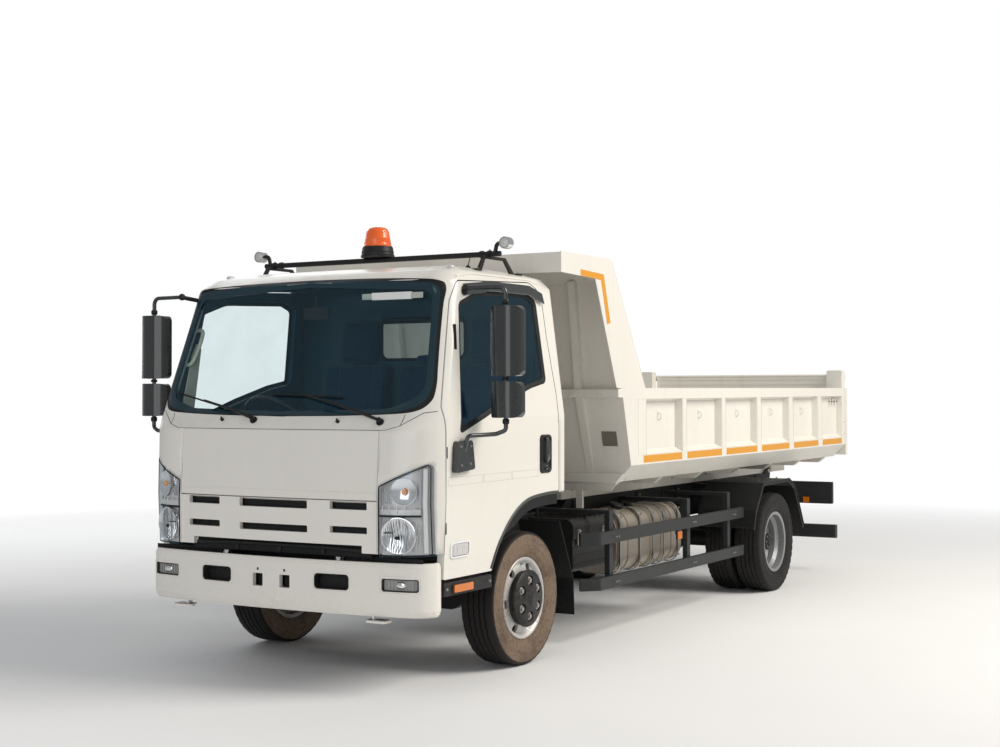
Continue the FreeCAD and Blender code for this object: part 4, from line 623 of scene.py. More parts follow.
def tyre(shape, x, y, material, tread, notched=0.006):
    """Ribbed tyre: its grooves run round it, and wavy, with notched shoulders."""
    steps, half = 168, 0.1065
    tread_radius, tread_half = 0.358, 0.1035
    grooves = ((-0.052, 0.009), (-0.018, 0.008), (0.018, 0.008), (0.052, 0.009))
    rings = []
    for k in range(steps):
        a = math.tau * k / steps
        wave = 0.0022 * (1 if (k // 2) % 2 else -1)
        notch = notched if k % 4 == 0 else 0.0
        wall = [(0.078, 0.226), (0.086, 0.240), (0.092, 0.246), (0.0925, 0.250), (0.0995, 0.262),
                (0.1045, 0.280), (half, 0.300), (half, 0.304), (0.1075, 0.306), (0.1075, 0.310),
                (half, 0.312), (0.1060, 0.330), (0.1055, 0.346), (0.1065, 0.350 + notch * 0.2),
                (0.1050 - notch * 0.5, 0.366), (0.1015 - notch * 0.5, 0.3775 - notch),
                (0.0930, 0.3815 - notch), (0.078, TYRE_RADIUS - 0.0016)]
        line = [(-p, r) for p, r in wall]
        for centre, width in grooves:
            c = centre + wave
            line += [(c - width / 2 - 0.0012, TYRE_RADIUS), (c - width / 2, TYRE_RADIUS - 0.0015),
                     (c - width / 2 + 0.0012, TYRE_RADIUS - 0.011),
                     (c + width / 2 - 0.0012, TYRE_RADIUS - 0.011), (c + width / 2, TYRE_RADIUS - 0.0015),
                     (c + width / 2 + 0.0012, TYRE_RADIUS)]
        line += [(p, r) for p, r in reversed(wall)]
        line += [(0.07, 0.2235), (-0.07, 0.2235)]
        rings.append([Vector((x + p, y + r * math.cos(a), TYRE_RADIUS + r * math.sin(a)))
                      for p, r in line])
    shape.loft(rings, material, ring_round=True)
    if tread not in shape.materials:
        shape.materials.append(tread)
    for face in shape.mesh.faces:
        middle = face.calc_center_median()
        radius = math.hypot(middle.y - y, middle.z - TYRE_RADIUS)
        if radius > tread_radius and abs(middle.x - x) < tread_half:
            face.material_index = shape.materials.index(tread)


def wheel_nuts(shape, x, y, r, count, size, turn=0.0):
    """Ring of nuts, each with its washer and the stud's end."""
    for place in disc_places(x, r, count, turn, y):
        for start, end, share, material, steps, bevel in (
                (-0.004, 0.004, 0.75, STEEL, 14, 0.0), (0.0, 0.020, 0.62, SILVER, 6, 0.0012),
                (0.0, 0.031, 0.34, STEEL, 10, 0.001)):
            shape.stub(place, X, start, end, size * share, material, steps, bevel)


def front_wheel(shape):
    """Hub, brake drum, nuts and the black hub cover with a hole over each nut."""
    x = 0.948
    shape.lathe([(0.0, 0.160), (0.006, 0.165), (0.016, 0.164), (0.026, 0.150), (0.030, 0.120),
                 (0.032, 0.086), (0.036, 0.074), (0.038, 0.060), (0.040, 0.036), (0.044, 0.030),
                 (0.046, 0.0)],
                (x, 0, TYRE_RADIUS), "x", PLASTIC, 72)
    holes = Shape()
    for p in disc_places(x - 0.02, 0.103, 6, 0.52):
        holes.rod(p, p + Vector((0.10, 0, 0)), 0.030, FRAME, 28)
    carved(shape, holes)
    shape.materials = [PLASTIC]
    shape.lathe([(-0.124, 0.158), (-0.030, 0.158), (-0.010, 0.150), (-0.002, 0.140)], (x, 0, TYRE_RADIUS),
                "x", FRAME, 40)
    shape.lathe([(0.028, 0.203), (0.034, 0.203)], (FRONT_X, 0, TYRE_RADIUS), "x", SEAL, 48)
    wheel_nuts(shape, x + 0.001, 0, 0.103, 6, 0.040, 0.52)
    shape.rod((0.905, 0.0, TYRE_RADIUS + 0.192), (0.930, 0.0, TYRE_RADIUS + 0.198), 0.005, STEEL, 10)


def rear_wheel(shape):
    """Nuts, axle flange with its bolts, and valve in the deep rear rim."""
    x = 0.837
    wheel_nuts(shape, x + 0.001, REAR_Y, 0.111, 6, 0.034)
    shape.lathe([(0.0, 0.068), (0.010, 0.066), (0.018, 0.040), (0.024, 0.036), (0.026, 0.0)],
                (0.975, REAR_Y, TYRE_RADIUS), "x", FRAME, 36)
    for place in disc_places(0.981, 0.053, 8, y=REAR_Y):
        shape.bolt(place, X, 0.014)
    shape.rod((0.90, REAR_Y, TYRE_RADIUS + 0.185), (0.985, REAR_Y, TYRE_RADIUS + 0.190), 0.005, STEEL, 10)


def front_tyre(shape):
    """The left front tyre."""
    tyre(shape, FRONT_X, 0.0, TYRE_F, TREAD, notched=0.0015)


def rear_tyres(shape):
    """The left rear wheel's pair of tyres."""
    for x in DUAL_X:
        tyre(shape, x, REAR_Y, TYRE_R, TYRE_R)


both_sides(front_tyre, "tyre_front", FRONT_WHEELS, "tyre_rubber", "front_tyre")
both_sides(rear_tyres, "tyres_rear", REAR_WHEELS, "tyre_rubber", "rear_tyres")
both_sides(rear_wheel, "hub_rear", REAR_WHEELS, "steel")


# ---------------------------------------------------------------- windows
PANE_CORNER = 0.9        # radians; a pane's face and its edge meet at more than this
PANE_FACING = 0.35       # share of a face's normal that points outward, at least


def pane_edges(name, outward):
    """The outer rims of a node's panes that face outward: lists of (place, normal, inward)."""
    part = bmesh.new()
    part.from_mesh(nodes[name].data)
    bmesh.ops.remove_doubles(part, verts=part.verts, dist=WELD)
    outward = Vector(outward)
    nearby = {}
    for edge in part.edges:
        if len(edge.link_faces) != 2 or edge.calc_face_angle(0) < PANE_CORNER:
            continue
        face = max(edge.link_faces, key=lambda f: f.normal.dot(outward))
        if face.normal.dot(outward) < PANE_FACING:
            continue
        for a, b in ((0, 1), (1, 0)):
            nearby.setdefault(edge.verts[a], []).append((edge.verts[b], face.normal.copy()))
    rims, done = [], set()
    for first in nearby:
        if first in done:
            continue
        ring, vert, normal = [], first, nearby[first][0][1]
        while vert is not None and vert not in done:
            done.add(vert)
            ring.append((vert.co - Vector((0, AXLE_Y, 0)), normal))
            ahead = [(v, n) for v, n in nearby[vert] if v not in done]
            vert, normal = ahead[0] if ahead else (None, normal)
        if len(ring) > 12:
            rims.append(even_ring(ring))
    part.free()
    return rims


def even_ring(ring, step=0.02):
    """A closed ring with its places spaced evenly, and the direction in from its edge."""
    places, normals = [], []
    for (a, n), (b, m) in zip(ring, ring[1:] + ring[:1]):
        count = max(1, round((b - a).length / step))
        for k in range(count):
            places.append(a.lerp(b, k / count))
            normals.append(n.lerp(m, k / count).normalized())
    middle = sum(places, Vector()) / len(places)
    out = []
    for i, (p, n) in enumerate(zip(places, normals)):
        along = (places[(i + 1) % len(places)] - places[i - 1]).normalized()
        inward = n.cross(along).normalized()
        if inward.dot(middle - p) < 0:
            inward = -inward
        out.append((p, n, inward))
    return out


def seal(shape, rim, width, thick, lap):
    """Black band round a pane: lap is how far it reaches outside the glass."""
    rings = []
    for p, n, inward in rim:
        rings.append([p - inward * lap - n * 0.004, p - inward * lap + n * thick * 0.8,
                      p + n * thick, p + inward * (width - 0.012) + n * thick * 0.7,
                      p + inward * width + n * 0.0008, p + inward * width - n * 0.004])
    shape.loft(rings, SEAL, ring_round=True)


# half the outline of the windscreen's black band, from the top down
BAND_EDGE = ((0.0, 2.216), (0.40, 2.213), (0.70, 2.203), (0.845, 2.188), (0.882, 2.150), (0.886, 2.060),
             (0.898, 1.930), (0.912, 1.800), (0.924, 1.700), (0.934, 1.610), (0.926, 1.530), (0.860, 1.478),
             (0.690, 1.462), (0.350, 1.452))


def carved(shape, tools):
    """The shape's mesh with the tools' solids taken out of it."""
    solids = []
    for part in (shape, tools):
        data = bpy.data.meshes.new("part")
        part.mesh.to_mesh(data)
        part.mesh.free()
        solids.append(placed(bpy.data.objects.new("part", data)))
    cut = solids[0].modifiers.new("cut", "BOOLEAN")
    cut.object = solids[1]
    cut.solver = "EXACT"
    bpy.context.view_layer.update()
    graph = bpy.context.evaluated_depsgraph_get()
    done = bpy.data.meshes.new_from_object(solids[0].evaluated_get(graph))
    shape.mesh = bmesh.new()
    shape.mesh.from_mesh(done)
    for face in shape.mesh.faces:
        face.material_index = 0
    for made in solids:
        data = made.data
        bpy.data.objects.remove(made)
        bpy.data.meshes.remove(data)
    bpy.data.meshes.remove(done)
    return shape


def opened_shell(rim):
    """The cab's shell, cut right through behind the whole of the windscreen."""
    part = bmesh.new()
    part.from_mesh(nodes["cab_shell"].data)
    bmesh.ops.translate(part, verts=part.verts, vec=(0, -AXLE_Y, 0))
    bmesh.ops.remove_doubles(part, verts=part.verts, dist=FINE_WELD)
    shape, tools = Shape(), Shape()
    shape.take(part, LINED)
    # from ahead of the cab to a raked plane just behind the glass; behind is where it passes level
    ahead, behind, level, slope = -1.30, -0.760, 1.950, 0.302
    hole = [p - inward * 0.010 for p, _, inward in rim]
    tools.loft([[Vector((p.x, ahead, p.z)) for p in hole],
                [Vector((p.x, behind + (p.z - level) * slope, p.z)) for p in hole]], LINED)
    bmesh.ops.recalc_face_normals(tools.mesh, faces=tools.mesh.faces)
    carved(shape, tools).piece("cab_shell_open", "cab", "cab_paint", ("cab_shell",))


BEHIND_SCREEN = -0.55    # what lies further back than this was seen through the window
BLACK_FROM = 0.56        # share of the band's width where its glazed part ends and the rubber starts
GLAZED = surface("glazed_edge", (0.010, 0.036, 0.050), 0.10, dusty=0.0, shine=0.4)


def crossing(loop, middle, toward):
    """Where a line from the middle towards a direction crosses a loop, all seen from the front."""
    found = None
    for a, b in zip(loop, loop[1:]):
        spread, gap = b - a, a - middle
        cross = toward.x * spread.z - toward.z * spread.x
        if abs(cross) < 1e-9:
            continue
        reach = (gap.x * spread.z - gap.z * spread.x) / cross
        share = (gap.x * toward.z - gap.z * toward.x) / cross
        if reach > 0 and -0.001 <= share <= 1.001:
            found = middle + toward * reach
    return found


def screen_band(rim):
    """Black band and rubber from just inside the glass's edge out over the pillars."""
    half = list(BAND_EDGE) + [(0.0, 1.450)]
    loop = smooth_path([(x, 0, z) for x, z in half] + [(-x, 0, z) for x, z in half[-2:0:-1]])
    loop.append(loop[0])
    middle = Vector((0.0, 0.0, 1.83))
    shape, glazed, rings = Shape(), [], []
    for p, n, inward in rim:
        outer = crossing(loop, middle, Vector((p.x, 0, p.z)) - middle)
        inner = p + inward * 0.020
        ring = [inner - n * 0.003, inner + n * 0.0012, p + inward * 0.006 + n * 0.006]
        reach = (outer - Vector((p.x, 0, p.z))).length
        for share in (min(0.5, 0.013 / reach), BLACK_FROM, 0.94, 1.0):
            x, z = p.x + (outer.x - p.x) * share, p.z + (outer.z - p.z) * share
            spot, out = on_shell(x, z)
            if spot.y >= BEHIND_SCREEN:
                spot, out = p + n * 0.008, n
            ring.append(spot + out * (0.0030 if share < 1.0 else 0.0003))
        glazed.append(ring[:5] + [ring[4] - n * 0.003, p - n * 0.003])
        rings.append(ring[4:] + [ring[-1] - n * 0.002, ring[4] - n * 0.003])
    shape.loft(glazed, GLAZED, ring_round=True)
    shape.loft(rings, SEAL, ring_round=True)
    shape.piece("screen_seal", "cab")


def window_seals():
    """Opening and band of the windscreen, then the seals of the rear window and the doors."""
    for rim in pane_edges("cab_glass", (0, -1, 0.2)):
        if sum(p.y for p, _, _ in rim) < 0:
            opened_shell(rim)
            screen_band(rim)
    rear = [rim for rim in pane_edges("cab_glass", (0, 1, 0)) if sum(p.y for p, _, _ in rim) > 0]
    sealed = [("rear_window_seal", "cab", rear, 0.022, 0.012)]
    for word, out in zip(WORDS, SIDES):
        rims = pane_edges("door_glass_" + word, (out, 0, 0.1))
        sealed.append(("window_seal_" + word, "door_" + word, rims, 0.026, 0.010))
    for name, body, rims, width, lap in sealed:
        shape = Shape()
        for rim in rims:
            seal(shape, rim, width, 0.010, lap)
        shape.piece(name, body)


window_seals()


# ---------------------------------------------------------------- cab front
def headlamp(shape):
    """Reflectors, bulbs and ribs behind the clear lens, and the gasket round it."""
    def line(points, width, thick, material, lift, step=0.02):
        strip(shape, points, on_lamp, width, thick, material, lift, step=step)

    outline = ((0.694, 0.724), (0.948, 0.724), (0.953, 0.732), (0.953, 1.180), (0.943, 1.196), (0.694, 1.083))
    strip(shape, outline, partial(front, names=("headlamps", "cab_shell")), 0.006, 0.003, SEAL, lift=-0.001,
          closed=True)
    for z0, low, high in ((0.724, 0.938, 0.938), (0.962, 1.080, 1.190)):
        patch(shape, ((0.694, z0), (0.948, z0), (0.948, high), (0.694, low)), on_lamp, SILVER_GREY,
              lift=-0.034, thick=0.003, count=(10, 8))
    # shelf between the two lamps, the dark line below it, and its ribs
    line(((0.694, 0.950), (0.918, 0.950)), 0.034, 0.012, SILVER_GREY, -0.024)
    line(((0.694, 0.928), (0.918, 0.928)), 0.008, 0.016, SEAL, -0.022)
    for k in range(5):
        x = 0.715 + 0.043 * k
        line(((x, 0.938), (x, 0.985)), 0.005, 0.006, WHITE, -0.012, 0.01)
    # pale upright at the outer edge, and the housing's upright pleats
    line(((0.934, 0.734), (0.934, 1.178)), 0.026, 0.012, WHITE, -0.018)
    line(((0.914, 0.975), (0.914, 1.165)), 0.012, 0.006, MIRROR, -0.022)
    for k in range(5):
        x = 0.704 + 0.014 * k
        line(((x, 0.990), (x, 1.075 + 0.35 * (x - 0.694))), 0.004, 0.006, CHROME, -0.028)
    for x, z, r, material in ((0.835, 1.058, 0.070, MIRROR), (0.806, 0.826, 0.094, CHROME)):
        spot, normal = on_lamp(x, z)
        u = normal.cross(Z).normalized()
        bowl = [(-0.029 + 0.022 * (k / 8) ** 2, r * k / 8) for k in range(9)]
        shape.lathe([(-0.008, r * 1.04), (-0.007, r)] + bowl[::-1] + [(-0.032, 0.0), (-0.032, r * 1.04)],
                    spot, (normal, u, normal.cross(u)), material, 36, closed=True)
        if material is MIRROR:
            shape.ball(spot - normal * 0.014, 0.012, BULB, (1, 1, 1.3), 16)
    # fluted optics in front of the lower bowl, its bulb shield and level bar
    for k in range(17):
        x0 = 0.706 + 0.0126 * k
        tall = math.sqrt(max(0.0, 1 - ((x0 - 0.806) / 0.112) ** 4)) * 0.090
        wave = [(x0 + 0.0035 * math.sin(j * 1.1 + k * 0.7), 0.826 - tall + 2 * tall * j / 8)
                for j in range(9)]
        line(wave, 0.0040, 0.004, (MIRROR, CHROME, STEEL)[k % 3], -0.010, 0.03)
    shape.ball(spot - normal * 0.004 + Vector((-0.006, 0, -0.010)), 0.012, SEAL, (1.3, 0.5, 0.8))
    line(((0.712, 0.842), (0.780, 0.842)), 0.005, 0.004, SEAL, -0.006)


SILVER_GREY = surface("lamp_housing", (0.72, 0.715, 0.70), 0.28, dusty=0.10, metal=0.25)
both_sides(headlamp, "headlamp_insides", "cab", "lamp_clear")


def cowl_trim(shape):
    """Black sheet behind the grille that paints the shade of the space behind it, panel joints of the cowl,
    and the washer nozzles.
    """
    def joint(points, width, thick, lift=0.0, step=0.02):
        strip(shape, points, on_shell, width, thick, SEAL, lift, step=step)

    # black sheet on the shell behind the grille's slots: painted shade for the dark space behind them
    patch(shape, ((-0.628, 0.812), (0.628, 0.812), (0.628, 0.990), (-0.628, 0.990)), on_shell, SEAL,
          lift=0.0005, thick=0.001, count=(30, 6))
    for s in SIDES:
        joint([(s * a, b) for a, b in ((0.692, 1.3785), (0.725, 1.380), (0.800, 1.402), (0.808, 1.462))],
              0.0035, 0.0006)
        joint([(s * a, b) for a, b in ((0.800, 1.402), (0.905, 1.470), (0.960, 1.478))], 0.003, 0.0010,
              0.0006, 0.01)
    joint(((-0.692, 1.3785), (0.692, 1.3785)), 0.0035, 0.0005)
    for x, z in ((-0.414, 1.425), (0.399, 1.420)):
        spot, normal = on_shell(x, z)
        nozzle = spot + normal * 0.004
        shape.ball(nozzle, 0.011, SEAL, (1.0, 0.8, 0.9))
        shape.rod(nozzle, spot + normal * 0.016 + Z * 0.008, 0.0055, SEAL, 10)
        shape.rod(spot + Vector((-0.018, 0, 0.004)), spot + Z * 0.004 + normal * 0.006, 0.003, SEAL, 8)


def lid_edge(shape):
    """Pressed line across the lower edge of the lid."""
    on_lid = partial(front, names=("front_lid",))
    strip(shape, ((-0.672, 1.045), (0.672, 1.045)), on_lid, 0.010, 0.0022, CREAM)


one_piece(cowl_trim, "cowl_trim", "cab")
one_piece(lid_edge, "lid_edge", "front_lid", "cab_paint")


def wipers(shape):
    """Arm, link and blade on each pivot; the blade's rubber rests just off the glass."""
    for px, pz, (x0, z0), (x1, z1) in ((-0.179, 1.424, (-0.836, 1.578), (-0.319, 1.470)),
                                       (0.667, 1.419, (-0.097, 1.566), (0.386, 1.549))):
        spot, normal = on_shell(px, pz)
        shape.stub(spot, normal, -0.004, 0.010, 0.021, SEAL, 20, 0.002)
        shape.stub(spot, normal, 0.010, 0.030, 0.014, PLASTIC, 16, 0.003)
        blade = [on_glass(x0 + (x1 - x0) * k / 12, z0 + (z1 - z0) * k / 12) for k in range(13)]
        normals = [n for _, n in blade]
        shape.tube([p + n * 0.004 for p, n in blade], 0, SEAL, flat=(0.007, 0.008, normals))
        shape.tube([p + n * 0.014 for p, n in blade], 0, PLASTIC, flat=(0.010, 0.004, normals))
        middle, out = blade[6]
        # bridges from the arm's end down to the spine
        for i, j in ((1, 4), (8, 11), (2, 6), (10, 6)):
            shape.rod(blade[i][0] + blade[i][1] * 0.016, blade[j][0] + blade[j][1] * 0.026, 0.0028, PLASTIC,
                      8)
        start = spot + normal * 0.024
        knee = start.lerp(middle + out * 0.032, 0.42) + normal * 0.012
        shape.tube(smooth_path([start, knee, middle + out * 0.030], 8), 0, PLASTIC,
                   flat=(0.014, 0.007, normal))
        shape.rod(start, knee, 0.0085, PLASTIC, 10, r2=0.006)


one_piece(wipers, "wiper_arms", "cab", stands_for=("wipers",))


# ---------------------------------------------------------------- bumper
def bumper_skin(x, z):
    """Point on the bumper's face at x, read above its openings, at height z."""
    spot, normal = front(x, 0.650, ("front_bumper",))
    return Vector((x, spot.y, z)), Vector((normal.x, normal.y, 0)).normalized()


def bumper(shape):
    """Fog lamps, bezels and dark backings in the bumper's openings."""
    foremost = cad_box[0][1] - AXLE_Y + 0.0002
    for s in SIDES:
        for x0, x1, z0, z1, r, deep in ((0.706, 0.915, 0.534, 0.602, 0.012, 0.030),
                                        (0.288, 0.509, 0.528, 0.612, 0.022, 0.045),
                                        (0.058, 0.128, 0.520, 0.590, 0.006, 0.045)):
            patch(shape, ((s * x0, z0), (s * x1, z0), (s * x1, z1), (s * x0, z1)), bumper_skin, SEAL,
                  lift=-deep - 0.004, thick=0.002, count=(8, 3))
            if x0 < 0.1:
                continue
            corners = [(s * a, b) for a, b in rounded(x0 + 0.002, x1 - 0.002, z0 + 0.002, z1 - 0.002, r, 4)]
            rings = []
            for p, n in zip(*follow(corners, bumper_skin, closed=True, step=0.05)):
                middle = Vector((s * (x0 + x1) / 2, p.y, (z0 + z1) / 2))
                inward = (middle - p).normalized()
                rings.append([p - n * 0.002, p - n * 0.002 + inward * 0.005, p - n * deep + inward * 0.007,
                              p - n * deep - inward * 0.002])
            shape.loft(rings, PLASTIC, ring_round=True)
        # fog lamp: reflector bowl with its bulb shield, behind a fluted lens
        spot, normal = bumper_skin(s * 0.811, 0.568)
        patch(shape, ((s * 0.712, 0.540), (s * 0.909, 0.540), (s * 0.909, 0.596), (s * 0.712, 0.596)),
              bumper_skin, FOG, lift=-0.020, thick=0.003, count=(10, 4))
        for k in range(9):
            x = s * (0.730 + 0.020 * k)
            strip(shape, ((x, 0.543), (x, 0.593)), bumper_skin, 0.004, 0.0025, FOG, lift=-0.0165)
        shape.ball(spot - normal * 0.018, 0.020, CHROME, (1.6, 0.5, 1.0), 16)
        # small dark squares above the middle holes, and the outline pressed round each opening
        patch(shape, [(s * a, b) for a, b in ((0.086, 0.607), (0.098, 0.607), (0.098, 0.621),
                                              (0.086, 0.621))],
              bumper_skin, SEAL, lift=0.0005, thick=0.001, count=(1, 1))
        for outline, width, thick in ((rounded(0.696, 0.925, 0.524, 0.612, 0.014, 4), 0.006, 0.003),
                                      (rounded(0.280, 0.517, 0.520, 0.620, 0.028, 4), 0.005, 0.0025)):
            strip(shape, [(s * a, b) for a, b in outline], bumper_skin, width, thick, CREAM, closed=True,
                  step=0.04)
        # dark plates that close the space between bumper and cab: painted shade for the dark gap there
        shape.box(s * 0.435, s * 0.925, -1.045, -1.040, 0.655, 0.705, SEAL)
    shape.box(-0.90, 0.90, -1.040, -1.034, 0.470, 0.652, SEAL)
    # tie-down brackets' plates under the bumper
    for s in SIDES:
        shape.box(s * 0.612, s * 0.728, -1.112, -1.056, 0.3785, 0.3825, STEEL, bevel=0.001)
    # nothing stands out past the foremost point of the CAD
    for vert in shape.mesh.verts:
        vert.co.y = max(vert.co.y, foremost)


FOG = lens("fog_lens", (0.30, 0.30, 0.29), rough=0.12)
one_piece(bumper, "bumper_fittings", "chassis")


def cab_baffles(shape):
    """Black baffles across the space behind the grille's lower notch: painted shade standing for the dark gap
    there.
    """
    shape.box(-0.62, 0.62, -1.070, -1.064, 0.700, 0.812, SEAL)
    shape.boxes(3, "x", 0.30, (-0.312, -0.288, -1.077, -1.064, 0.705, 0.808), PLASTIC, 0.002)
    shape.tube([(-0.60, -1.078, 0.735), (-0.30, -1.082, 0.745), (0.30, -1.082, 0.745), (0.60, -1.078, 0.735)],
               0.010, PLASTIC, 10)
    # black fronts on the two arms of the tilt hinge: painted shade, as the arms sit in the dark gap
    for s in SIDES:
        shape.prism([(-1.0645, 0.660), (-1.0600, 0.708), (-1.0550, 0.708), (-1.0590, 0.660)], "x",
                    s * 0.368, s * 0.412, SEAL)


one_piece(cab_baffles, "grille_gap_shade", "cab")


# ---------------------------------------------------------------- doors and mirrors
def rings_on(points, middle, levels):
    """Rings that follow an outline on the door; each level is (height, share of the way to the middle)."""
    spots, normals = follow(points, side, closed=True, step=0.2)
    return [[p + n * lift + (middle - p) * share for p, n in zip(spots, normals)] for lift, share in levels]


def door_fittings(shape):
    """Handle, side repeater, faint moulded strip, wind deflector and hinge covers."""
    # handle: recessed plate with an upright pull and a lock
    middle, out = side(0.141, 1.215)
    plate = rounded(0.074, 0.208, 1.102, 1.328, 0.026)
    shape.loft(rings_on(plate, middle, ((0.0005, 0.0), (0.008, 0.04), (0.008, 0.14), (0.0015, 0.20))),
               PLASTIC)
    pull = ((0.002, 0.088), (0.017, 0.070), (0.020, 0.010), (0.015, -0.030), (0.002, -0.042))
    shape.tube(smooth_path([middle + out * lift + Z * z for lift, z in pull]), 0, GLOSS,
               flat=(0.030, 0.010, out))
    lock = middle + Z * -0.078
    shape.stub(lock, out, 0.001, 0.011, 0.013, CHROME, 20, 0.001)
    shape.stub(lock, out, 0.011, 0.0125, 0.009, SEAL, 16)
    # side repeater: chrome frame round a clear lens, and the lens's ribs
    outline = rounded(-0.872, -0.690, 0.701, 0.779, 0.018, 4)
    strip(shape, outline, side, 0.011, 0.007, CHROME, closed=True, step=0.2)
    inner = [(a * 0.92 - 0.0625, b * 0.86 + 0.1036) for a, b in outline]
    centre = side(-0.781, 0.740)[0]
    shape.loft(rings_on(inner, centre, ((0.001, 0.0), (0.007, 0.1), (0.010, 0.4))), LAMP_GLASS)
    for k in range(6):
        y = -0.845 + 0.025 * k
        strip(shape, ((y, 0.712), (y, 0.768)), side, 0.004, 0.002, CHROME, lift=0.008)
    # faint strip in three lengths along the door, drawn as grey outline lines darker than the paint
    for y0, y1 in ((-0.913, -0.560), (-0.550, -0.250), (-0.240, 0.052)):
        frame_line = [(y0, 1.084 + 0.006 * (y0 + 0.9)), (y1, 1.084 + 0.006 * (y1 + 0.9)), (y1, 1.128),
                      (y0, 1.128)]
        strip(shape, frame_line, side, 0.0035, 0.0012, STRIP_GREY, closed=True, step=0.1)
    # wind deflector over the window
    rows = []
    for k in range(19):
        y = -0.620 + 0.048 * k
        top, out = side(y, 2.196 - 0.10 * max(0, -0.40 - y) - 0.28 * max(0, y - 0.12))
        rows.append([top + out * lift - Z * drop for lift, drop in (
            (0.001, 0.0), (0.014, 0.0), (0.030, 0.062), (0.026, 0.064), (0.008, 0.012))])
    shape.loft(rows, SMOKE)
    # covers of the hinges
    for z in (0.86, 1.26):
        x = side(-0.905, z)[0].x
        shape.box(x - 0.002, x + 0.004, -0.9285, -0.9245, z - 0.03, z + 0.03, SEAL)


def arch_lip(shape):
    """Dark moulding round the wheel arch, on the door's edge, and the rubber inside it."""
    path = ((-0.446, 0.602), (-0.368, 0.733), (-0.231, 0.873), (-0.068, 0.953), (0.140, 0.976),
            (0.292, 0.978))
    line = smooth_path([(0.0, y, z) for y, z in path], 8)
    rings, broad = [], []
    for i, p in enumerate(line):
        ahead = (line[min(i + 1, len(line) - 1)] - line[max(i - 1, 0)]).normalized()
        down = Vector((0, ahead.z, -ahead.y))
        x = side(p.y - down.y * 0.012, p.z - down.z * 0.012, ("door_left",))[0].x
        wide = 0.040 + 0.018 * min(1.0, i / 20)
        # the rubber narrows towards the front and stays above the tyre
        width = 0.004 + 0.060 * min(1.0, max(0.0, (p.z - 0.760) / 0.110))
        for rows, section in (
                (rings, ((0.0005, -0.014), (0.006, -0.008), (0.004, 0.004), (-wide, 0.010), (-wide, 0.004),
                         (-0.004, -0.001))),
                (broad, ((-0.003, 0.002), (-0.005, width), (-0.012, width), (-0.012, 0.002)))):
            rows.append([Vector((x + out, p.y + down.y * deep, p.z + down.z * deep))
                         for out, deep in section])
    shape.loft(rings, LIP)
    shape.loft(broad, SEAL)


def pillar_vent(shape):
    """Slotted dark vent on the windscreen pillar."""
    for k in range(2):
        strip(shape, ((-0.772 + 0.006 * k, 1.810), (-0.752 + 0.004 * k, 1.945)), side, 0.022 - 0.012 * k,
              0.003 + 0.002 * k, SEAL)


def step_tread(shape):
    """Open tread on the step, its bolts and the side marker on its edge."""
    shape.boxes(14, "y", 0.0345, (0.668, 0.962, -0.905, -0.901, 0.560, 0.5725), STEEL)
    shape.boxes(8, "x", 0.040, (0.675, 0.679, -0.915, -0.450, 0.556, 0.5715), STEEL)
    for y in (-0.905, -0.470):
        shape.bolt((0.982, y, 0.538), X, 0.014)
    shape.prism(rounded(-0.850, -0.636, 0.508, 0.560, 0.010, 3), "x", 0.9825, 0.9865, PLASTIC)
    shape.prism(rounded(-0.838, -0.648, 0.514, 0.554, 0.008, 3), "x", 0.9865, 0.9925, AMBER, bevel=0.002)


def mirror_glass(shape, y):
    """Silvered glass, rubber rim, clamps and seams of a door's two mirror heads; y is the heads' middle."""
    x = 1.170
    for z0, z1, half in ((1.665, 2.045, 0.100), (1.440, 1.635, 0.095)):
        outline = rounded(x - half + 0.010, x + half - 0.010, z0 + 0.010, z1 - 0.010, 0.026)
        shape.prism(outline, "y", y + 0.0445, y + 0.0480, MIRROR)
        shape.tube([(a, y + 0.046, b) for a, b in outline], 0.0045, SEAL, 6, closed=True)
        # drain slots under the shell
        for middle in (x - 0.030, x + 0.030):
            shape.box(middle - 0.010, middle + 0.010, y - 0.020, y - 0.006, z0 - 0.0008, z0 + 0.002, SEAL)
    for z in (1.648, 1.655):
        shape.lathe([(-0.004, 0.019), (0.004, 0.019)], (x, y, z), "z", PLASTIC, 20)
    for z in (1.420, 2.066):
        shape.lathe([(-0.014, 0.016), (-0.008, 0.019), (0.008, 0.019), (0.014, 0.016)], (x, y, z), "z",
                    PLASTIC, 20)
    # clamp that carries the upper arm on the door's frame, and the bolts of the lower one
    end = Vector((0.930, y - 0.020, 2.150))
    spot, out = side(max(end.y, -0.665), 2.130, ("door_left",))
    shape.rod(end + Vector((0.010, 0, 0)), spot + out * 0.002, 0.013, PLASTIC, 16)
    shape.ball(end, 0.021, PLASTIC)
    shape.ball(spot + out * 0.004, 0.022, PLASTIC, (0.6, 1.2, 1.0))
    for dy, dz in ((-0.05, 0.05), (0.05, 0.05), (-0.045, -0.05), (0.045, -0.045)):
        shape.bolt(Vector((1.032, -0.790, 1.240)) + Vector((-0.0005, dy, dz)), X, 0.012)


LAMP_GLASS = lens("lamp_glass", (0.62, 0.62, 0.60), rough=0.08)
SMOKE = surface("smoked_plastic", (0.020, 0.026, 0.025), 0.16, dusty=0.06, below=2.6, coat=0.6)
LIP = surface("arch_lip", (0.030, 0.036, 0.033), 0.45, dust=(0.24, 0.22, 0.18), dusty=0.5, below=1.4,
              grain=0.15)
both_sides(door_fittings, "door_fittings", DOORS)
both_sides(arch_lip, "arch_lip", DOORS)
both_sides(pillar_vent, "pillar_vent", "cab")
both_sides(step_tread, "step_tread", "chassis")
for word, head_y in zip(WORDS, (-0.600, -0.820)):
    glass = Shape()
    mirror_glass(glass, head_y)
    if word == "right":
        glass.flip()
    glass.piece("mirror_glass_" + word, "door_" + word)


# ---------------------------------------------------------------- roof
def around(place, count):
    """Places straight out from one, in level directions spread evenly round it: (place, direction)."""
    for k in range(count):
        a = math.tau * k / count
        yield Vector(place), Vector((math.cos(a), math.sin(a), 0))


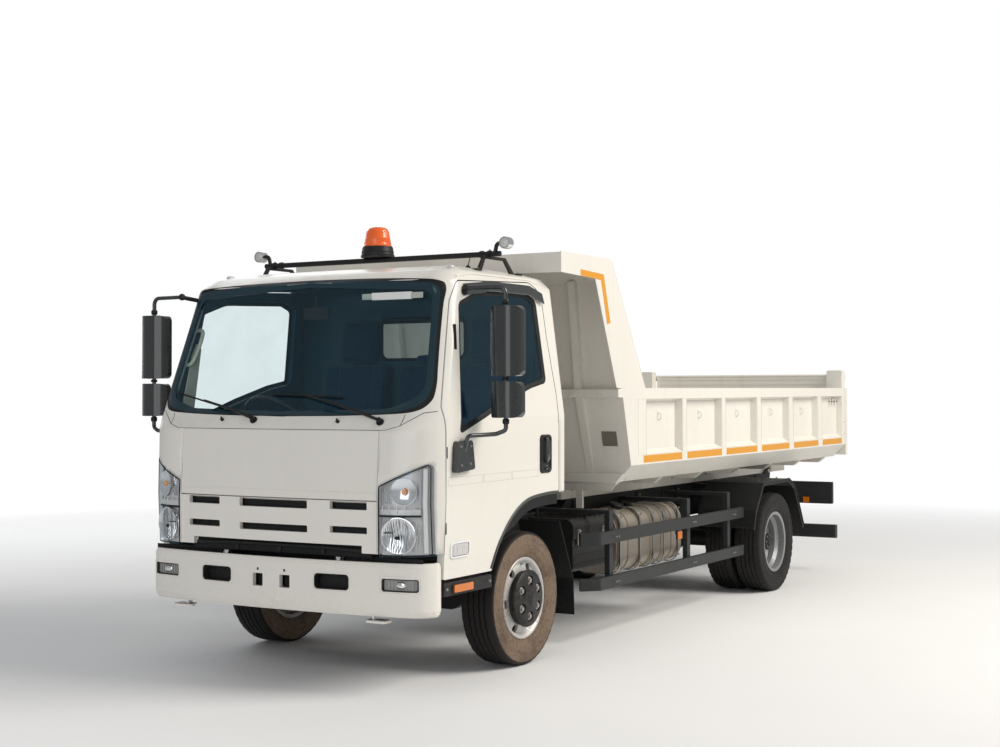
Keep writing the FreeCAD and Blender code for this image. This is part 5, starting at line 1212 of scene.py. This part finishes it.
def bar_fittings(shape):
    """Work lamps at the bar's ends, its clamps, and its feet on the roof."""
    for s in SIDES:
        lamp_x = s * 0.905
        for out in (-1, 1):
            shape.lathe([(0, 0.029), (out * 0.006, 0.022), (out * 0.009, 0.0)],
                        (lamp_x, BAR_Y + out * 0.0245, BAR_Z + 0.060), "y", LAMP_GLASS, 24)
        shape.lathe([(-0.026, 0.030), (-0.026, 0.035), (0.026, 0.035), (0.026, 0.030)],
                    (lamp_x, BAR_Y, BAR_Z + 0.060), "y", CHROME, 28, closed=True)
        for x in (0.793, 0.740):
            shape.lathe([(-0.010, 0.0160), (-0.010, 0.0215), (0.010, 0.0215), (0.010, 0.0160)],
                        (s * x, BAR_Y, BAR_Z), "x", PLASTIC, 20, closed=True)
        shape.bolt((s * 0.793, BAR_Y, BAR_Z + 0.0205), Z, 0.010)
        for y in (BAR_Y - 0.150, BAR_Y + 0.310):
            spot = roof(s * 0.793, y)
            shape.box(s * 0.793 - 0.022, s * 0.793 + 0.022, y - 0.030, y + 0.030, spot.z - 0.004,
                      spot.z + 0.006, PLASTIC, bevel=0.002)
            shape.bolt(spot + Vector((0.012, 0, 0.006)), Z, 0.009)


def beacon_foot(shape):
    """Round foot, ribbed up its side."""
    shape.lathe([(0.0003, 0.103), (0.012, 0.103), (0.016, 0.098), (0.030, 0.096), (0.034, 0.099),
                 (0.040, 0.096), (0.058, 0.092), (0.0655, 0.090)],
                (0, BAR_Y, BEACON_Z), "z", PLASTIC, 40)
    for place, d in around((0, BAR_Y, BEACON_Z), 20):
        shape.rod(place + Z * 0.016 + d * 0.0955, place + Z * 0.058 + d * 0.0905, 0.003, PLASTIC, 6)


def beacon_lens(shape):
    """Tapering lens with a stepped collar and a cap, ribbed up its side."""
    shape.lathe([(0.0657, 0.085), (0.072, 0.086), (0.076, 0.081), (0.110, 0.0755), (0.114, 0.077),
                 (0.118, 0.0745), (0.160, 0.066), (0.174, 0.058), (0.181, 0.045), (0.1838, 0.025)],
                (0, BAR_Y, BEACON_Z), "z", BEACON, 48)
    for place, d in around((0, BAR_Y, BEACON_Z), 24):
        shape.rod(place + Z * 0.078 + d * 0.0805, place + Z * 0.158 + d * 0.0660, 0.0022, BEACON, 6)


def roof_trim(shape):
    """Aerial, marker lamps over the windscreen's ends and rain gutters over the doors."""
    spot = roof(0.750, -0.310)
    tip = spot + Vector((0.004, 0.030, 0.088))
    shape.lathe([(-0.002, 0.017), (0.006, 0.015), (0.014, 0.007), (0.018, 0.0)], spot, "z", SEAL, 20)
    shape.rod(spot + Z * 0.010, tip, 0.0032, SEAL, 8, r2=0.0018)
    shape.ball(tip, 0.0032, SEAL, steps=8)
    for s in SIDES:
        shape.ball(roof(s * 0.795, -0.560) + Z * 0.004, 0.022, LAMP_GLASS, (1.0, 1.3, 0.7), 16)
        gutter = []
        for k in range(26):
            y = -0.66 + 0.0365 * k
            found = skin(s * 1.6, y, 2.240 - 0.16 * max(0, -0.50 - y) - 0.25 * max(0, y - 0.16), (-s, 0, 0),
                         ("cab_shell",))
            if found and abs(found[0].x) > 0.7:
                gutter.append(found[0] + Vector((s * 0.0005, 0, 0)))
        shape.tube(gutter, 0, CREAM, flat=(0.010, 0.006, (s, 0, 0.2)))


BAR_Y, BAR_Z = -0.140, 2.378      # middle of the bar across the roof
BEACON_Z = 2.394                  # underside of the beacon
one_piece(bar_fittings, "roof_lamps", "cab")
one_piece(beacon_foot, "beacon_foot", "cab")
one_piece(beacon_lens, "beacon_lens", "cab", "amber", ("beacon",))
one_piece(roof_trim, "roof_trim", "cab")


# ---------------------------------------------------------------- front wheels' rims
def front_rim(shape):
    """Pressed rim with six hand holes, under the hub."""
    x = FRONT_X
    section = [(-0.092, 0.2355), (-0.080, 0.2355), (-0.080, 0.2215), (-0.040, 0.2215), (-0.020, 0.198),
               (0.020, 0.198), (0.040, 0.2215), (0.080, 0.2215), (0.080, 0.2355), (0.088, 0.2360),
               (0.0925, 0.232), (0.0900, 0.224), (0.084, 0.214), (0.072, 0.208), (0.066, 0.200),
               (0.070, 0.190), (0.078, 0.165), (0.080, 0.130), (0.080, 0.034), (0.060, 0.034),
               (0.060, 0.130), (0.058, 0.165), (0.050, 0.186), (0.042, 0.196), (0.040, 0.206),
               (0.032, 0.208), (0.014, 0.189), (-0.018, 0.189), (-0.036, 0.212), (-0.084, 0.213)]
    shape.lathe(section, (x, 0, TYRE_RADIUS), "x", SILVER, 96, closed=True)
    holes = Shape()
    for p in disc_places(x + 0.020, 0.183, 6, 0.105):
        holes.rod(p, p + Vector((0.09, 0, 0)), 0.0255, SILVER, 28)
    carved(shape, holes)


both_sides(front_rim, "rim_front", FRONT_WHEELS, "wheel_silver", "front_rim")
both_sides(front_wheel, "hub_front", FRONT_WHEELS)


# ---------------------------------------------------------------- interior
def cad_parts(name):
    """The separate solids of a node, each as a bmesh in drawing places."""
    whole = bmesh.new()
    whole.from_mesh(nodes[name].data)
    bmesh.ops.remove_doubles(whole, verts=whole.verts, dist=WELD)
    parts, seen = [], set()
    for vert in whole.verts:
        if vert in seen:
            continue
        group, todo = set(), [vert]
        while todo:
            v = todo.pop()
            if v in group:
                continue
            group.add(v)
            todo += [e.other_vert(v) for e in v.link_edges]
        seen |= group
        piece = whole.copy()
        piece.verts.ensure_lookup_table()
        gone = [piece.verts[v.index] for v in whole.verts if v not in group]
        bmesh.ops.delete(piece, geom=gone, context="VERTS")
        parts.append(piece)
    whole.free()
    return parts


def pad(source, name, stands_for, channels, length_axis):
    """Padded cover: remeshed, crowned, pulled in at its sewn channels; a back also at a cross seam."""
    data = bpy.data.meshes.new(name)
    source.to_mesh(data)
    source.free()
    made = placed(bpy.data.objects.new(name, data))
    remesh = made.modifiers.new("remesh", "REMESH")
    remesh.mode, remesh.voxel_size = "VOXEL", 0.011
    soften = made.modifiers.new("soften", "SMOOTH")
    soften.factor, soften.iterations = 0.5, 9
    bpy.context.view_layer.update()
    graph = bpy.context.evaluated_depsgraph_get()
    done = bpy.data.meshes.new_from_object(made.evaluated_get(graph))
    made.modifiers.clear()
    part = bmesh.new()
    part.from_mesh(done)
    bpy.data.meshes.remove(done)
    lows = Vector([min(v.co[k] for v in part.verts) for k in range(3)])
    highs = Vector([max(v.co[k] for v in part.verts) for k in range(3)])
    middle, half = (lows + highs) / 2, (highs - lows) / 2
    part.normal_update()
    moves = []
    for vert in part.verts:
        u = (vert.co.x - middle.x) / half.x
        w = (vert.co[length_axis] - middle[length_axis]) / half[length_axis]
        crown = max(0.0, 1 - u * u) * max(0.0, 1 - w * w)
        puff = 0.006 * crown - 0.003
        for c in channels:
            puff -= 0.009 * math.exp(-((u - c) / 0.045) ** 2)
        if length_axis == 2:
            puff -= 0.006 * math.exp(-((w - 0.55) / 0.05) ** 2)
        puff += 0.0012 * math.sin(vert.co.x * 61 + vert.co.z * 37) * math.sin(vert.co.y * 53)
        moves.append(vert.normal * puff)
    for vert, move in zip(part.verts, moves):
        vert.co += move
        vert.co.z = min(vert.co.z, highs.z - 0.001)
    part.to_mesh(data)
    part.free()
    data.materials.clear()
    data.materials.append(FABRIC)
    data.shade_smooth()
    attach(made, "cab")
    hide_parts(stands_for)


# foot and top of the outer headrests, and of the one over the middle seat
HEADREST_Z = (1.768, 2.030)
MIDDLE_HEADREST_Z = (1.768, 1.815)
MIDDLE_SEAT_X = 0.10
for index, solid in enumerate(cad_parts("seat_cushions")):
    pad(solid, "seat_cushion_%d" % index, "seat_cushions", (-0.52, 0.52), 1)
for index, solid in enumerate(cad_parts("seat_backs")):
    low, high = (f(v.co.z for v in solid.verts) for f in (min, max))
    tall = high - low > 0.4
    in_middle = abs(solid.verts[:][0].co.x - MIDDLE_SEAT_X) < 0.2
    foot, top = MIDDLE_HEADREST_Z if in_middle else HEADREST_Z
    for vert in solid.verts:
        if not tall:
            vert.co.z = foot + (vert.co.z - low) * (top - foot) / (high - low)
    pad(solid, "%s_%d" % ("seat_back" if tall else "headrest", index), "seat_backs",
        (-0.55, 0.55) if tall else (), 2)


def dash_fittings(shape):
    """Instruments, vents, switches, trays and the column's shroud."""
    for x in (-0.86, -0.70, 0.10, 0.28, 0.78):
        shape.box(x - 0.055, x + 0.055, -0.652, -0.644, 1.300, 1.345, SEAL, bevel=0.004)
        shape.boxes(4, "z", 0.010, (x - 0.050, x + 0.050, -0.650, -0.640, 1.306, 1.309), TRIM)
    for x, r in ((-0.530, 0.042), (-0.450, 0.026), (-0.370, 0.042)):
        shape.lathe([(0, r), (0.006, r), (0.006, r * 0.9), (0.002, r * 0.88)],
                    (x, -0.632, 1.412), "y", CHROME, 28)
        shape.lathe([(0, r * 0.86), (0.003, r * 0.86)], (x, -0.631, 1.412), "y", SEAL, 28)
        shape.rod((x, -0.627, 1.412), (x - r * 0.5, -0.627, 1.412 + r * 0.5), 0.0012, RED, 6)
    shape.box(-0.09, 0.09, -0.648, -0.640, 1.215, 1.275, SEAL, bevel=0.003)
    shape.boxes(6, "x", 0.028, (-0.082, -0.060, -0.644, -0.637, 1.185, 1.205), TRIM, 0.002)
    for x in (-0.05, 0.05):
        shape.lathe([(0, 0.014), (0.012, 0.011)], (x, -0.640, 1.155), "y", SEAL, 20)
    # glove box and its catch, and the grab rail
    shape.box(0.36, 0.74, -0.646, -0.640, 1.195, 1.275, TRIM, bevel=0.006)
    shape.box(0.53, 0.57, -0.642, -0.634, 1.255, 1.268, SEAL, bevel=0.002)
    shape.tube(smooth_path([(0.36, -0.640, 1.300), (0.38, -0.612, 1.306), (0.72, -0.612, 1.306),
                            (0.74, -0.640, 1.300)], 4), 0.008, TRIM)
    # demister slots along the top, and papers
    shape.boxes(4, "x", 0.48, (-0.86, -0.58, -0.955, -0.925, 1.441, 1.446), SEAL, 0.002)
    shape.box(-0.11, 0.12, -0.88, -0.76, 1.440, 1.452, WHITE, bevel=0.004)
    # column's shroud and its stalks
    end = Vector((-0.450, -0.560, 1.378))
    n = Vector((0.0, 0.712, 0.702))
    shape.rod(end - n * 0.15, end - n * 0.012, 0.060, TRIM, 20, bevel=0.006, r2=0.048)
    for s in SIDES:
        shape.rod(end - n * 0.05 + Vector((s * 0.04, 0, 0)), end - n * 0.03 + Vector((s * 0.19, 0, 0.02)),
                  0.008, SEAL, 10, r2=0.006)
    # gear lever in its gaiter, and the hand brake's
    shape.rod((-0.06, -0.62, 1.04), (-0.05, -0.52, 1.30), 0.010, SEAL, 10)
    shape.ball((-0.05, -0.515, 1.315), 0.026, SEAL, (1, 1, 1.3))
    shape.lathe([(0, 0.075), (0.02, 0.070), (0.06, 0.035), (0.075, 0.015), (0.075, 0.0), (0, 0.0)],
                (-0.06, -0.62, 1.02), "z", SEAL, 20, closed=True)
    shape.rod((-0.20, -0.36, 1.02), (-0.20, -0.50, 1.18), 0.012, SEAL, 10)
    # pedals
    for x in (-0.36, -0.46, -0.58):
        shape.rod((x, -0.86, 1.02), (x, -0.80, 0.905), 0.008, STEEL, 8)
        shape.box(x - 0.030, x + 0.030, -0.812, -0.798, 0.875, 0.935, SEAL, bevel=0.003)


def cab_trim(shape):
    """Grab handles, pillar trim, strip lamp, mirror and rear lining inside the cab."""
    for s in SIDES:
        x = s * 0.905
        # grab handle, in ivory brightened to paint the sunlight on it
        shape.tube(smooth_path([(x, -0.840, 1.745), (x - s * 0.045, -0.820, 1.765),
                                (x - s * 0.050, -0.740, 1.935), (x, -0.755, 1.950)]), 0.012, SUNLIT_IVORY, 10)
        # trim over the front corner's pillar, its ivory brightened to paint the sunlight on it
        shape.prism([(-0.890, 1.47), (-0.790, 1.46), (-0.725, 1.84), (-0.760, 1.87), (-0.800, 1.80)], "x",
                    s * 0.880, s * 0.890, SUNLIT_IVORY)
    # strip lamp behind the screen, in its clips
    shape.box(0.370, 0.770, -0.812, -0.802, 2.092, 2.124, GREYLAMP, bevel=0.003)
    shape.box(0.440, 0.700, -0.818, -0.800, 2.088, 2.128, WHITE, bevel=0.004)
    # inner mirror
    shape.rod((0.0, -0.75, 2.13), (0.0, -0.74, 2.06), 0.006, SEAL, 8)
    shape.box(-0.085, 0.085, -0.750, -0.735, 1.995, 2.065, SEAL, bevel=0.006)
    # lining of the rear wall, which leaves a smaller clear opening in the rear window
    for x0, x1, z0, z1 in ((-0.80, 0.80, 1.16, 1.790), (-0.62, -0.312, 1.790, 2.07),
                           (0.312, 0.62, 1.790, 2.07)):
        shape.box(x0, x1, 0.350, 0.364, z0, z1, LINING)
    shape.tube([(a, 0.350, b) for a, b in rounded(-0.318, 0.318, 1.785, 2.045, 0.055, 6)], 0.011, SEAL,
               closed=True)


def door_card(shape):
    """Inside of a door: arm rest, pull, winder and pocket."""
    shape.box(0.905, 0.940, -0.62, 0.10, 1.270, 1.310, TRIM, bevel=0.008)
    shape.tube(smooth_path([(0.938, -0.34, 1.235), (0.905, -0.32, 1.225), (0.905, -0.14, 1.225),
                            (0.938, -0.12, 1.235)], 5), 0.009, SEAL)
    shape.lathe([(0, 0.026), (-0.014, 0.022)], (0.944, -0.46, 1.180), "x", SEAL, 20)
    shape.rod((0.926, -0.46, 1.180), (0.922, -0.54, 1.205), 0.007, SEAL, 8)
    shape.ball((0.916, -0.54, 1.206), 0.014, SEAL)
    shape.box(0.920, 0.946, -0.70, -0.10, 0.960, 1.060, TRIM, bevel=0.006)


TRIM = surface("dash_plastic", (0.005, 0.034, 0.058), 0.6, dusty=0.1, below=2.6, grain=0.3, shine=0.22)
# ivory of the pillar trim and grab handles, brightened beyond their own colour: painted sunlight
SUNLIT_IVORY = surface("pillar_trim_painted_sunlight", (0.80, 0.77, 0.62), 0.55, dusty=0.1, below=2.6)
GREYLAMP = surface("lamp_base", (0.45, 0.47, 0.42), 0.5, dusty=0.1, below=2.6)
one_piece(dash_fittings, "dash_fittings", "cab")
one_piece(cab_trim, "cab_trim", "cab")
both_sides(door_card, "door_card", DOORS)


# ---------------------------------------------------------------- dump body
# front face and width of each post on the body's side
POSTS = ((1.395, 0.123), (2.1117, 0.070), (2.8283, 0.070), (3.5450, 0.080), (4.2617, 0.090), (4.9783, 0.095),
         (5.610, 0.090))
WALL_X = 1.004           # outer face of the dump body's side
RAIL_X = 0.425           # outer face of the rails of the frame and the dump body


def body_side(shape):
    """Reflective tape, rope hooks, weld beads and gate latch on a side of the body."""
    tub = ("dump_tub",)
    bead_x = WALL_X + 0.0006
    for k, ((post, width), (following, _)) in enumerate(zip(POSTS, POSTS[1:])):
        start = post + width * (1.0 if k else 0.58) + 0.010
        shape.box(WALL_X + 0.0002, WALL_X + 0.0014, start, following - 0.012, 1.106, 1.153, TAPE)
        if k < 5:
            middle = (post + width + following) / 2
            spot = side(middle, 1.41, tub)[0]
            hook = ((0, 0.022), (0.020, 0.016), (0.022, -0.016), (0.003, -0.028))
            shape.tube(smooth_path([spot + Vector((x, 0, z)) for x, z in hook], 4), 0.0045, BODY)
            shape.box(spot.x - 0.001, spot.x + 0.003, middle - 0.014, middle + 0.014, 1.420, 1.446, BODY,
                      bevel=0.001)
        # weld beads down both edges of the post
        for y in (post, post + width):
            shape.tube([(bead_x, y, 1.530), (bead_x, y, 1.160)], 0.0018, BODY, 5)
    for z in (1.160, 1.530):
        shape.tube([(bead_x, 1.40, z), (bead_x, 5.69, z)], 0.0016, BODY, 5)
    # gate latch: three keepers and the rod through them
    x = side(5.30, 1.45, tub)[0].x
    for y, length in ((5.400, 0.075), (5.470, 0.060), (5.545, 0.075)):
        shape.box(x, x + 0.016, y - 0.012, y + 0.012, 1.480 - length / 2, 1.480 + length / 2, BODY,
                  bevel=0.002)
    shape.rod((x + 0.010, 5.385, 1.480), (x + 0.010, 5.600, 1.480), 0.007, STEEL, 10)
    # bolts at the foot of the corner post
    for z in (1.20, 1.30):
        shape.bolt((WALL_X, 5.655, z), X, 0.016, BODY)


def canopy_side(shape):
    """Tape that marks the canopy's end, and the stiffening lips of the gusset."""
    x = WALL_X + 0.0004
    shape.prism([(0.590, 2.331), (0.902, 2.318), (0.994, 2.016), (0.950, 2.004), (0.864, 2.281),
                 (0.590, 2.292)],
                "x", x, x + 0.0010, TAPE)
    for a, b in (((1.013, 2.418), (1.505, 1.606)), ((0.345, 2.300), (0.788, 2.287)),
                 ((0.788, 2.287), (1.08, 1.606))):
        shape.tube([(x - 0.002, *a), (x - 0.002, *b)], 0.0030, BODY, 6)


def headboard_fittings(shape):
    """Blank data plate and its rivets, rubbing blocks and tarpaulin hooks on the headboard."""
    plate = ((0.817, 1.222), (0.926, 1.222), (0.926, 1.318), (0.817, 1.318))
    patch(shape, plate, on_board, PLATE, count=(2, 2))
    for x in (0.825, 0.918):
        for z in (1.230, 1.310):
            shape.stub(*on_board(x, z), 0.003, 0.005, 0.0035, STEEL, 10)
    for s in SIDES:
        for z in (1.10, 1.46):
            shape.stub(*on_board(s * 0.47, z), -0.002, 0.012, 0.012, BODY)
    for k in range(9):
        x = -0.88 + 0.22 * k
        shape.tube([(x, 1.101, 1.560), (x, 1.090, 1.552), (x, 1.090, 1.540)], 0.004, BODY)


def tub_under(shape):
    """Cross-member ends, runner bolts, corner gussets and the runners' pads."""
    for s in SIDES:
        for post, width in POSTS:
            y = post + width / 2
            shape.prism([(y - 0.028, 0.985), (y + 0.028, 0.985), (y + 0.020, 0.940), (y - 0.020, 0.940)], "x",
                        s * RAIL_X, s * (RAIL_X + 0.006), BODY)
        for k in range(12):
            shape.bolt((s * (RAIL_X + 0.0005), 1.55 + 0.33 * k, 0.905), (s, 0, 0), 0.015)
        # corner gusset where floor, side and headboard meet
        shape.prism([(s * x, z) for x, z in ((0.862, 0.990), (0.894, 0.990), (0.930, 1.026), (0.930, 1.056),
                                             (0.924, 1.056), (0.862, 1.001))], "y", 1.338, 1.3975, BODY)
    # rubber pads on which the runners rest
    for y in (1.60, 2.60, 3.60, 4.60):
        for s in SIDES:
            shape.box(s * 0.364, s * 0.421, y - 0.06, y + 0.06, 0.8435, 0.8478, SEAL)


def gate_fittings(shape):
    """Hinge bolts and the foot blocks on the tailgate."""
    y = 5.760
    for s in SIDES:
        shape.bolt((s * 0.936, y - 0.016, 1.705), Y, 0.018)
        for x in (0.30, 0.72):
            shape.box(s * x - 0.018, s * x + 0.018, y - 0.0075, y - 0.0005, 1.010, 1.050, BODY, bevel=0.002)


PLATE = surface("plain_plate", (0.27, 0.25, 0.205), 0.42, dusty=0.3, metal=0.5)
both_sides(body_side, "body_side_trim", "dump_body", "body_paint")
both_sides(canopy_side, "canopy_tape", "dump_body", "amber")
one_piece(headboard_fittings, "headboard_fittings", "dump_body", "body_paint")
one_piece(tub_under, "tub_trim", "dump_body", "body_paint")
one_piece(gate_fittings, "gate_fittings", "tailgate", "body_paint")


# ---------------------------------------------------------------- chassis
BOARD_Y = 5.250          # rear face of the board that carries the rear lamps


def tank_fittings(shape):
    """Straps, filler cap and sender on the fuel tank."""
    outline = rounded(0.4685, 0.8015, 0.3535, 0.7715, 0.085, 6)
    for y, width in ((1.535, 0.050), (1.835, 0.034), (2.045, 0.028), (2.225, 0.028), (2.470, 0.034)):
        for lift, w, material in ((0.001, width, SEAL), (0.003, width * 0.7, STEEL)):
            band = [Vector((a + (lift if a > 0.6 else -lift), y, b + (lift if b > 0.55 else -lift)))
                    for a, b in outline]
            out = [Vector(((p.x > 0.72) - (p.x < 0.55), 0, (p.z > 0.69) - (p.z < 0.43))).normalized()
                   for p in band]
            shape.tube(band, 0, material, closed=True, flat=(w, 0.003, out))
        for z in (0.735, 0.400):
            shape.bolt((0.806, y, z), (1, 0, 0.2), 0.012)
    neck, tip = Vector((0.690, 1.620, 0.710)), Vector((0.720, 1.620, 0.794))
    up = (tip - neck).normalized()
    u = up.cross(Y).normalized()
    v = up.cross(u)
    shape.lathe([(-0.004, 0.041), (0.004, 0.046), (0.022, 0.046), (0.028, 0.040)], tip, (up, u, v), SEAL, 28)
    for k in range(10):
        a = math.tau * k / 10
        shape.stub(tip + (u * math.cos(a) + v * math.sin(a)) * 0.046, up, 0.002, 0.022, 0.004, SEAL, 6)
    # fuel sender
    shape.lathe([(0, 0.040), (0.008, 0.040), (0.012, 0.028), (0.024, 0.026)],
                (0.620, 2.020, 0.769), "z", SEAL, 24)


def battery_fittings(shape):
    """Battery lid's catches and ribs."""
    for y in (0.930, 1.275):
        shape.box(0.801, 0.808, y - 0.020, y + 0.020, 0.600, 0.700, STEEL, bevel=0.002)
        shape.rod((0.812, y - 0.016, 0.690), (0.812, y + 0.016, 0.690), 0.005, STEEL, 8)
    shape.boxes(7, "y", 0.068, (0.500, 0.770, 0.895, 0.907, 0.7675, 0.7725), PLASTIC, 0.002)
    shape.boxes(4, "z", 0.055, (0.789, 0.7935, 0.875, 1.330, 0.470, 0.480), PLASTIC, 0.001)


def guard_fittings(shape):
    """Bolts on the guard's rails and the hanging side marker."""
    for z in (0.651, 0.366):
        for y in (1.090, 2.316, 3.060):
            for dy in (-0.018, 0.018):
                shape.bolt((1.0003, y + dy, z), X, 0.010)
    shape.box(0.972, 0.988, 2.045, 2.085, 0.585, 0.6125, GUARD, bevel=0.002)
    shape.box(0.986, 0.996, 2.027, 2.103, 0.550, 0.608, PLASTIC, bevel=0.004)
    shape.box(0.996, 1.002, 2.031, 2.099, 0.554, 0.604, AMBER, bevel=0.003)
    shape.boxes(5, "y", 0.012, (1.002, 1.0032, 2.039, 2.043, 0.558, 0.600), AMBER)


def frame_bolts(shape):
    """Bolt rows at the frame's members, and the brackets that tie the underframe to it."""
    for y in (-0.880, 1.120, 2.000, 2.960, 4.500, 5.190):
        for dy in (-0.022, 0.022):
            for z in (0.630, 0.740):
                shape.bolt((RAIL_X + 0.0005, y + dy, z), X, 0.013)
    for y in (1.60, 2.60, 3.30, 4.40, 5.00):
        shape.box(RAIL_X + 0.0002, RAIL_X + 0.0082, y - 0.045, y + 0.045, 0.650, 0.835, FRAME, bevel=0.002)
        for dy, z in ((-0.025, 0.680), (0.025, 0.680), (-0.025, 0.740), (0.025, 0.740), (0.0, 0.812)):
            shape.bolt((RAIL_X + 0.0082, y + dy, z), X, 0.014)


def rear_lamps(shape):
    """Tail lamp, its lenses and screws on the board, and the board's reflectors."""
    shape.box(0.660, 1.010, BOARD_Y, BOARD_Y + 0.012, 0.616, 0.756, PLASTIC, bevel=0.006)
    for x0, x1, colour in ((0.670, 0.772, CLEAR_LENS), (0.776, 0.880, RED), (0.884, 1.000, AMBER)):
        shape.box(x0, x1, BOARD_Y + 0.008, BOARD_Y + 0.032, 0.628, 0.744, colour, bevel=0.006, segments=3)
        rib = (x0 + 0.008, x1 - 0.008, BOARD_Y + 0.0315, BOARD_Y + 0.0332, 0.638, 0.642)
        shape.boxes(9, "z", 0.0115, rib, colour)
    for x in (0.772, 0.882):
        for z in (0.650, 0.722):
            shape.stub(Vector((x + 0.002, BOARD_Y, z)), Y, 0.028, 0.035, 0.0045, STEEL, 10)
    # three-cornered reflector further in, and the amber one that faces forward
    shape.prism([(0.470, 0.628), (0.610, 0.628), (0.540, 0.744)], "y", BOARD_Y, BOARD_Y + 0.008, RED,
                bevel=0.002)
    shape.box(0.780, 0.832, 5.2025, 5.2095, 0.598, 0.646, AMBER, bevel=0.002)
    for x in (0.450, 1.000):
        shape.bolt((x, BOARD_Y + 0.0005, 0.600), Y, 0.010)


def fender_fittings(shape):
    """Rolled edge and bolts of a rear fender."""
    path = ((-0.487, 0.146), (-0.442, 0.275), (-0.281, 0.477), (0.300, 0.483), (0.435, 0.420), (0.640, 0.080))
    axle_z = 0.385
    shape.tube([(1.0505, REAR_Y + a, axle_z + b) for a, b in path], 0.006, FRAME)
    for a, b in ((-0.20, 0.478), (0.20, 0.482)):
        for x in (0.640, 0.980):
            shape.bolt((x, REAR_Y + a, axle_z + b + 0.008), Z, 0.012)


def flap_fittings(shape):
    """Stiffening ribs on a front splash guard."""
    for x in (0.690, 0.805, 0.920):
        shape.tube([(x, 0.406, 0.802), (x, 0.498, 0.609), (x, 0.580, 0.438), (x, 0.592, 0.216)], 0, SEAL,
                   flat=(0.016, 0.006, (0, 1, 0.25)))


CLEAR_LENS = lens("clear_plastic", (0.72, 0.72, 0.70), rough=0.1)
one_piece(tank_fittings, "tank_fittings", "chassis")
one_piece(battery_fittings, "battery_fittings", "chassis")
for build, name in ((guard_fittings, "guard_fittings"), (frame_bolts, "frame_bolts"),
                    (rear_lamps, "rear_lamps"), (fender_fittings, "fender_edge"),
                    (flap_fittings, "flap_ribs")):
    both_sides(build, name, "chassis")


# ---------------------------------------------------------------- camera and studio
def floor():
    """Pale ground that fades into the white around it."""
    radius, fade_start, fade_end = 14.0, 4.5, 11.0
    ring = arc(0.0, 0.0, radius, 0, 360, 96)[:-1]
    part = bmesh.new()
    part.faces.new([part.verts.new((a, b, -0.001)) for a, b in ring])
    t = Tree("floor")
    flat = t.add("CombineXYZ", {"X": t.along("X"), "Y": t.along("Y")}).outputs[0]
    reach = t.add("VectorMath", {0: flat}, operation="LENGTH").outputs["Value"]
    tone = t.mix(t.noise(0.8, 0.2, 0.8), (0.83, 0.83, 0.83), (0.86, 0.86, 0.86))
    ground = t.shader(Base_Color=tone, Roughness=0.9)
    through = t.add("BsdfTransparent").outputs[0]
    fade = t.fade(reach, fade_start, fade_end)
    material = t.done(t.add("MixShader", {0: fade, 1: ground, 2: through}).outputs[0])
    shape = Shape()
    shape.take(part, material)
    data = bpy.data.meshes.new("floor")
    shape.mesh.to_mesh(data)
    data.materials.append(material)
    placed(bpy.data.objects.new("floor", data))


def camera():
    """The photograph's camera, solved from points on the truck."""
    place = at(5.362, -7.707, 1.588)
    yaw, pitch, roll = 0.528, 0.026, 0.003      # radians
    data = bpy.data.cameras.new("view")
    data.lens, data.sensor_width = 54.97, 36.0  # millimetres
    data.shift_x, data.shift_y = -0.0132, -0.0229
    ahead = Vector((-math.sin(yaw) * math.cos(pitch), math.cos(yaw) * math.cos(pitch), math.sin(pitch)))
    right = Matrix.Rotation(roll, 3, ahead) @ Vector((math.cos(yaw), math.sin(yaw), 0.0))
    axes = Matrix((right, right.cross(ahead), -ahead)).transposed()
    view = placed(bpy.data.objects.new("view", data))
    view.matrix_world = Matrix.Translation(place) @ axes.to_4x4()
    bpy.context.scene.camera = view


def lamp(name, place, aim, size, watts, colour):
    """Square area light that shines at a point."""
    data = bpy.data.lights.new(name, "AREA")
    data.shape, data.size, data.energy, data.color = "SQUARE", size, watts, colour
    light = placed(bpy.data.objects.new(name, data))
    light.location = place
    light.rotation_euler = (Vector(aim) - Vector(place)).to_track_quat("-Z", "Y").to_euler()


def studio():
    """White surroundings, dimmer as a light than as a background, and three large soft lamps."""
    light_strength, seen_strength = 0.36, 1.0
    world = bpy.data.worlds.new("studio")
    bpy.context.scene.world = world
    world.use_nodes = True
    tree = world.node_tree
    background = tree.nodes["Background"]
    paths = tree.nodes.new("ShaderNodeLightPath")
    seen = tree.nodes.new("ShaderNodeMath")
    seen.operation = "MAXIMUM"
    strength = tree.nodes.new("ShaderNodeMapRange")
    strength.inputs["To Min"].default_value = light_strength
    strength.inputs["To Max"].default_value = seen_strength
    for start, end in ((paths.outputs["Is Camera Ray"], seen.inputs[0]),
                       (paths.outputs["Is Transmission Ray"], seen.inputs[1]),
                       (seen.outputs[0], strength.inputs["Value"]),
                       (strength.outputs[0], background.inputs["Strength"])):
        tree.links.new(start, end)
    background.inputs["Color"].default_value = (1, 1, 1, 1)
    lamp("sun_side", (9.0, 1.5, 8.0), (0, 0, 1.0), 6.0, 1200, (1.0, 0.955, 0.885))
    lamp("front_fill", (1.5, -12.0, 3.6), (0, -2.5, 1.2), 7.0, 240, (0.94, 0.95, 1.0))
    lamp("far_fill", (-8.0, 3.0, 5.0), (0, 0, 1.2), 7.0, 220, (0.92, 0.96, 1.0))
    bpy.context.scene.view_settings.view_transform = "Standard"


floor()
camera()
studio()
